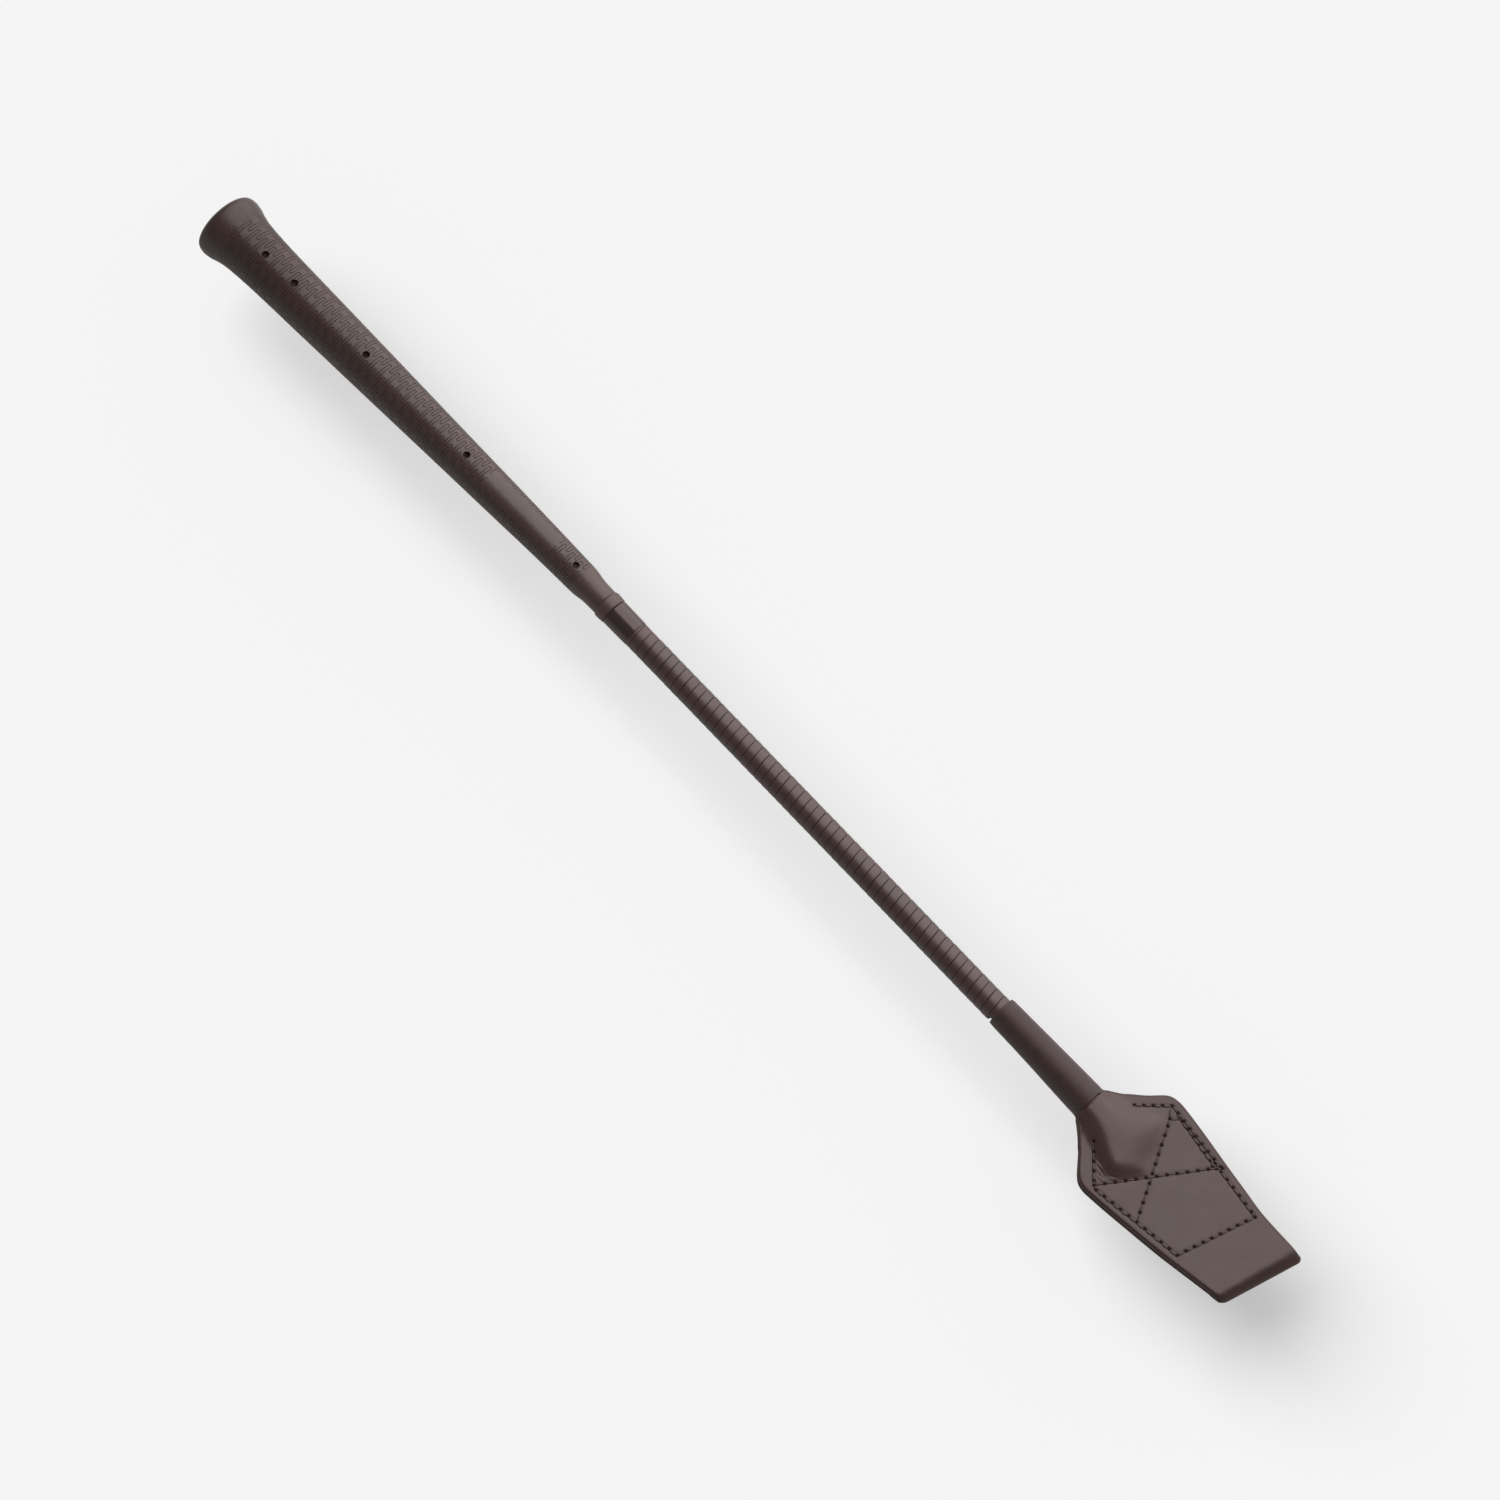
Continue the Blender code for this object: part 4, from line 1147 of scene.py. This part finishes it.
def inner_track(across, side):
    """A track on the face, at a share of the half width: x, y, z, edge, hole and painted shade."""
    tip_width = tip_half_width(across)
    x = track_x(across * (tip_width - EDGE_BAND), tip_width)
    outline = UPPER(x) if across > 0 else LOWER(x)
    y = across * (outline - EDGE_BAND)
    height, hole, crease_shade = leather_face(x, y, side)
    mark = np.clip((np.abs(across) - 0.985) / 0.015, 0, 1) * 0.25
    return x, y, side * height, np.full(FLAP_ROWS, mark), hole, crease_shade


def flap_sheet(columns, side):
    """One face of the flap with its cut edges, as an array of (row, track, value)."""
    tracks = [edge_track(-1.0, side, *row) for row in EDGE_TRACKS]
    tracks += [inner_track(across, side) for across in np.linspace(-1.0, 1.0, columns)]
    tracks += [edge_track(1.0, side, *row) for row in EDGE_TRACKS[::-1]]
    return np.array(tracks).transpose(2, 0, 1)


def tip_fold(sheet, side):
    """The worn, slightly flattened turn at the tip, from a face round to the middle layer, with a
    band of painted shade across it.
    """
    x, y, z, edge, _, _ = sheet[-1].T
    reach = fold_reach(y)
    # painted shade across the turn, strongest a little past its middle
    bend = np.exp(-(((np.arange(FOLD_STEPS + 1) / FOLD_STEPS - 0.53) / 0.26) ** 2))
    rows = []
    for place, mark in zip(FOLD_PLACES, 1.25 * bend):
        height = side * np.abs(z) * float(FOLD_HEIGHT(place))
        row = [x + reach * place, y, height, edge, np.zeros_like(x), np.full_like(x, mark)]
        rows.append(np.stack(row, -1))
    return np.array(rows)


def close_flap(obj):
    """Closes the seam in the tip's fold, where the halves have different spacing, and the flap's
    start."""
    bm = bmesh.new()
    bm.from_mesh(obj.data)
    open_edges = [edge for edge in bm.edges if edge.is_boundary]
    tip = [edge for edge in open_edges if min(vert.co.x for vert in edge.verts) > 0.600]
    start = [edge for edge in open_edges if max(vert.co.x for vert in edge.verts) < 0.545]
    for edges in (tip, start):
        bmesh.ops.holes_fill(bm, edges=edges, sides=0)
    bmesh.ops.recalc_face_normals(bm, faces=bm.faces[:])
    bm.to_mesh(obj.data)
    bm.free()
    obj.data.shade_smooth()


def build_flap():
    front = flap_sheet(FRONT_COLUMNS, 1.0)
    back = flap_sheet(BACK_COLUMNS, -1.0)
    points, faces = [], []
    first = 0
    for grid, flip in (
        (front, False),
        (back, True),
        (tip_fold(front, 1.0), False),
        (tip_fold(back, -1.0), True),
    ):
        rows, cols = grid.shape[:2]
        points.append(grid.reshape(-1, 6))
        faces.append(grid_faces(rows, cols, offset=first, flip=flip))
        first += rows * cols
    points = np.vstack(points)
    # the last mark is painted shade in creases, along the stitched rows and across the tip's fold
    marks = {"edge": points[:, 3], "hole": points[:, 4], "crease_shade": points[:, 5]}
    obj = build_mesh(
        "flap_leather_folded", points[:, :3], [np.vstack(faces)], LEATHER, marks, weld=1e-3
    )
    close_flap(obj)
    return obj


finish_bending(build_flap(), "flap_leather", "flap_neck_front", "flap_neck_back", "flap_panel")

# ------------------------------------------------------------------ stitches

THREAD_RADIUS = 0.38
THREAD_SIDES, THREAD_STEPS = 10, 12
DIVE_DEPTH, DIVE_SHARE = 0.75, 0.13  # each end sinks over this share of the stitch


def stitch_tube(start, end, side, bow, radius):
    """Rings of one stitch, (steps + 1, sides, 3), and the points that close its two ends."""
    share = np.linspace(0.0, 1.0, THREAD_STEPS + 1)
    around = 2 * math.pi * np.arange(THREAD_SIDES) / THREAD_SIDES
    arch = np.sin(math.pi * share)
    along = end - start
    length = np.hypot(*along)
    along = along / length
    normal = np.array([-along[1], along[0]])
    reach = 0.06 + 0.88 * share
    x = start[0] + along[0] * length * reach + normal[0] * bow * arch
    y = start[1] + along[1] * length * reach + normal[1] * bow * arch
    leather, _, _ = leather_face(x, y, side)
    # the thread bridges hollows between its ends and dives into a needle hole at each
    bridge = np.maximum(leather, np.interp(share, [0, 1], [leather[0], leather[-1]]))
    lift = 0.10 + 0.10 * arch
    dive = -DIVE_DEPTH * (
        np.clip(1 - share / DIVE_SHARE, 0, 1) ** 1.5
        + np.clip(1 - (1 - share) / DIVE_SHARE, 0, 1) ** 1.5
    )
    z = np.maximum(bridge + lift + dive, leather - DIVE_DEPTH)
    centre = np.stack([x, y, side * z], -1)
    tangent = np.gradient(centre, axis=0)
    tangent /= np.linalg.norm(tangent, axis=1)[:, None]
    wide = np.tile(np.array([normal[0], normal[1], 0.0]), (THREAD_STEPS + 1, 1))
    up = np.cross(tangent, wide)
    # two twisted plies, thinner towards the ends
    twist = share * length * 2.2
    lobe = 1.0 + 0.16 * np.cos(2.0 * (around[None] - twist[:, None]))
    taper = 0.55 + 0.45 * np.sin(math.pi * np.clip(0.03 + 0.94 * share, 0, 1)) ** 0.4
    thickness = (radius * lobe * taper[:, None])[..., None]
    rings = centre[:, None] + thickness * (
        np.cos(around)[None, :, None] * wide[:, None]
        + np.sin(around)[None, :, None] * up[:, None] * 0.92
    )
    ends = [
        centre[0] - tangent[0] * radius * 0.3,
        centre[-1] + tangent[-1] * radius * 0.3,
    ]
    return rings, np.stack(ends)


def build_stitches(name, side, seed):
    rng = np.random.default_rng(seed)
    verts, quads, tris = [], [], []
    corner = np.arange(THREAD_SIDES)
    after = (corner + 1) % THREAD_SIDES
    first = 0
    for start, end, count, row_bow in STITCH_ROWS:
        points = row_points(start, end, count)
        for k in range(count):
            bow = row_bow + rng.uniform(-0.08, 0.08)
            radius = THREAD_RADIUS * rng.uniform(0.93, 1.07)
            rings, ends = stitch_tube(points[k], points[k + 1], side, bow, radius)
            verts += [rings.reshape(-1, 3), ends]
            quads.append(grid_faces(THREAD_STEPS + 1, THREAD_SIDES, True, first))
            last = first + THREAD_STEPS * THREAD_SIDES
            tip = last + THREAD_SIDES
            tris.append(np.stack([np.full(THREAD_SIDES, tip), after + first, corner + first], -1))
            tris.append(
                np.stack([np.full(THREAD_SIDES, tip + 1), corner + last, after + last], -1)
            )
            first = tip + 2
    return outward(build_mesh(name, np.vstack(verts), [np.vstack(quads), np.vstack(tris)], THREAD))


for thread, side, seed in (("needle", 1.0, 11), ("bobbin", -1.0, 12)):
    stitches = build_stitches(f"{thread}_thread_stitches", side, seed)
    finish_bending(stitches, "stitch_thread", f"{thread}_thread_neck", f"{thread}_thread_panel")

# ------------------------------------------------------------------ hidden pieces keep CAD shapes

HIDDEN = {
    "core_rod": plain_material("rod_fibreglass", (0.50, 0.48, 0.38), rough=0.4, grain=900.0),
    "butt_plug": plain_material("plug_plastic", (0.03, 0.03, 0.03), rough=0.5),
    "handle_core": plain_material("core_plastic", (0.075, 0.047, 0.039), rough=0.8, specular=0.15),
    "shaft_padding": cord_material("padding_weave", (0.10, 0.08, 0.07), rough=0.8),
    "rod_end_cap": rubber_material(
        "cap_rubber", (0.03, 0.028, 0.027), rough=0.6, patterned=False
    ),
}
for node, material in HIDDEN.items():
    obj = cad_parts[node]
    if not obj.material_slots:
        obj.data.materials.append(material)
    for slot in obj.material_slots:
        slot.material = material

# ------------------------------------------------------------------ floor and world (metres)

FLOOR_HALF_SIZE = 6.0
# the crop is held clear of the floor: its shadow falls beside it, and the flap has room to bend
FLOOR_Z = -51.0 * MM


def floor_material():
    """A near-white floor that looks brighter to the camera than it does to the crop."""
    mat = Nodes("studio_floor")
    cloud = mat.remap(mat.noise(scale=3.0, detail=2.0))
    colour = mat.mix(cloud, (0.80, 0.80, 0.80), (0.802, 0.802, 0.802))
    seen = mat.add("ShaderNodeLightPath").outputs["Is Camera Ray"]
    colour = mat.mix(seen, (0.32, 0.31, 0.30), colour)
    position = mat.add("ShaderNodeNewGeometry").outputs["Position"]
    y = mat.add("ShaderNodeSeparateXYZ", {"Vector": position}).outputs["Y"]
    # what the crop receives: stronger from the floor on its +Y side
    cast = mat.remap(y, source=(0.004, 0.030), target=(0.22, 0.58))
    cast = mat.scaled(cast, by=mat.math("SUBTRACT", 1.0, seen))
    glow = mat.math("ADD", cast, mat.scaled(0.331, by=seen))
    return mat.set(
        Base_Color=colour,
        Roughness=0.95,
        Specular_IOR_Level=0.0,
        Emission_Color=(1.0, 1.0, 1.0),
        Emission_Strength=glow,
    )


def build_floor():
    size = FLOOR_HALF_SIZE
    corners = [(-size, -size, 0), (size, -size, 0), (size, size, 0), (-size, size, 0)]
    material = floor_material()
    mesh = bpy.data.meshes.new("studio_floor")
    mesh.from_pydata(corners, [], [(0, 1, 2, 3)])
    mesh.materials.append(material)
    obj = add_object("studio_floor", mesh)
    obj.location = (0.0, 0.0, FLOOR_Z)
    return obj


def build_world():
    """A backdrop that looks as bright as the floor, but lights the crop only weakly."""
    cast_strength, seen_strength = 0.20, 0.913
    world = bpy.data.worlds.new("studio")
    bpy.context.scene.world = world
    world.use_nodes = True
    tree = world.node_tree
    background = tree.nodes["Background"]
    background.inputs[0].default_value = (1.0, 1.0, 1.0, 1.0)
    path = tree.nodes.new("ShaderNodeLightPath")
    level = tree.nodes.new("ShaderNodeMapRange")
    level.inputs[3].default_value = cast_strength
    level.inputs[4].default_value = seen_strength
    tree.links.new(path.outputs["Is Camera Ray"], level.inputs[0])
    tree.links.new(level.outputs[0], background.inputs[1])


floor = build_floor()
build_world()

# ------------------------------------------------------------------ lights (metres)

floor_only = bpy.data.collections.new("lit_floor_only")
floor_only.objects.link(floor)
not_floor = bpy.data.collections.new("lit_all_but_floor")
not_floor.objects.link(floor)
not_floor.collection_objects[0].light_linking.link_state = "EXCLUDE"


def add_softbox():
    """One big softbox above the crop's +Y side, tilted down towards it; it skips the floor."""
    centre, target = Vector((0.06, 0.90, 1.10)), Vector((0.06, -0.10, 0.10))
    width, height = 2.9, 3.03
    radiance = 1.61  # surface brightness
    data = bpy.data.lights.new("softbox", "AREA")
    data.shape = "RECTANGLE"
    data.size, data.size_y = width, height
    data.energy = radiance * math.pi * width * height
    data.color = (1.0, 0.965, 0.955)
    obj = add_object("softbox", data)
    obj.location = centre
    obj.rotation_euler = (target - centre).to_track_quat("-Z", "Y").to_euler()
    obj.visible_camera = False
    obj.light_linking.receiver_collection = not_floor


def add_shadow_light():
    """A broad light from above and beyond the butt that only draws the soft shadow on the floor."""
    elevation = math.radians(50.5)
    heading = math.radians(15.0)  # the way the light travels, from +X towards +Y
    data = bpy.data.lights.new("shadow_light", "SUN")
    data.energy = 2.14
    data.angle = math.radians(51.6)
    obj = add_object("shadow_light", data)
    travel = Vector(
        (
            math.cos(elevation) * math.cos(heading),
            math.cos(elevation) * math.sin(heading),
            -math.sin(elevation),
        )
    )
    obj.rotation_euler = travel.to_track_quat("-Z", "Y").to_euler()
    obj.light_linking.receiver_collection = floor_only


add_softbox()
add_shadow_light()

# ------------------------------------------------------------------ camera

CAMERA_AT = Vector((0.620, -0.536, 1.603))  # metres
CAMERA_AXES = (  # the camera's own X (right), Y (up) and Z (backwards)
    (0.68525447, 0.7185914, 0.11854416),
    (-0.70899587, 0.62096167, 0.33426257),
    (0.16658683, -0.31310224, 0.93499509),
)
SENSOR_WIDTH = 36.0
FOCAL_LENGTH = 96.03744

camera_data = bpy.data.cameras.new("camera")
camera = add_object("camera", camera_data)
rotation = Matrix([Vector(axis).normalized() for axis in CAMERA_AXES]).transposed()
camera.matrix_world = Matrix.Translation(CAMERA_AT) @ rotation.to_4x4()
camera_data.sensor_width = SENSOR_WIDTH
camera_data.lens = FOCAL_LENGTH
camera_data.clip_start = 0.01
bpy.context.scene.camera = camera
bpy.context.scene.view_settings.view_transform = "Standard"
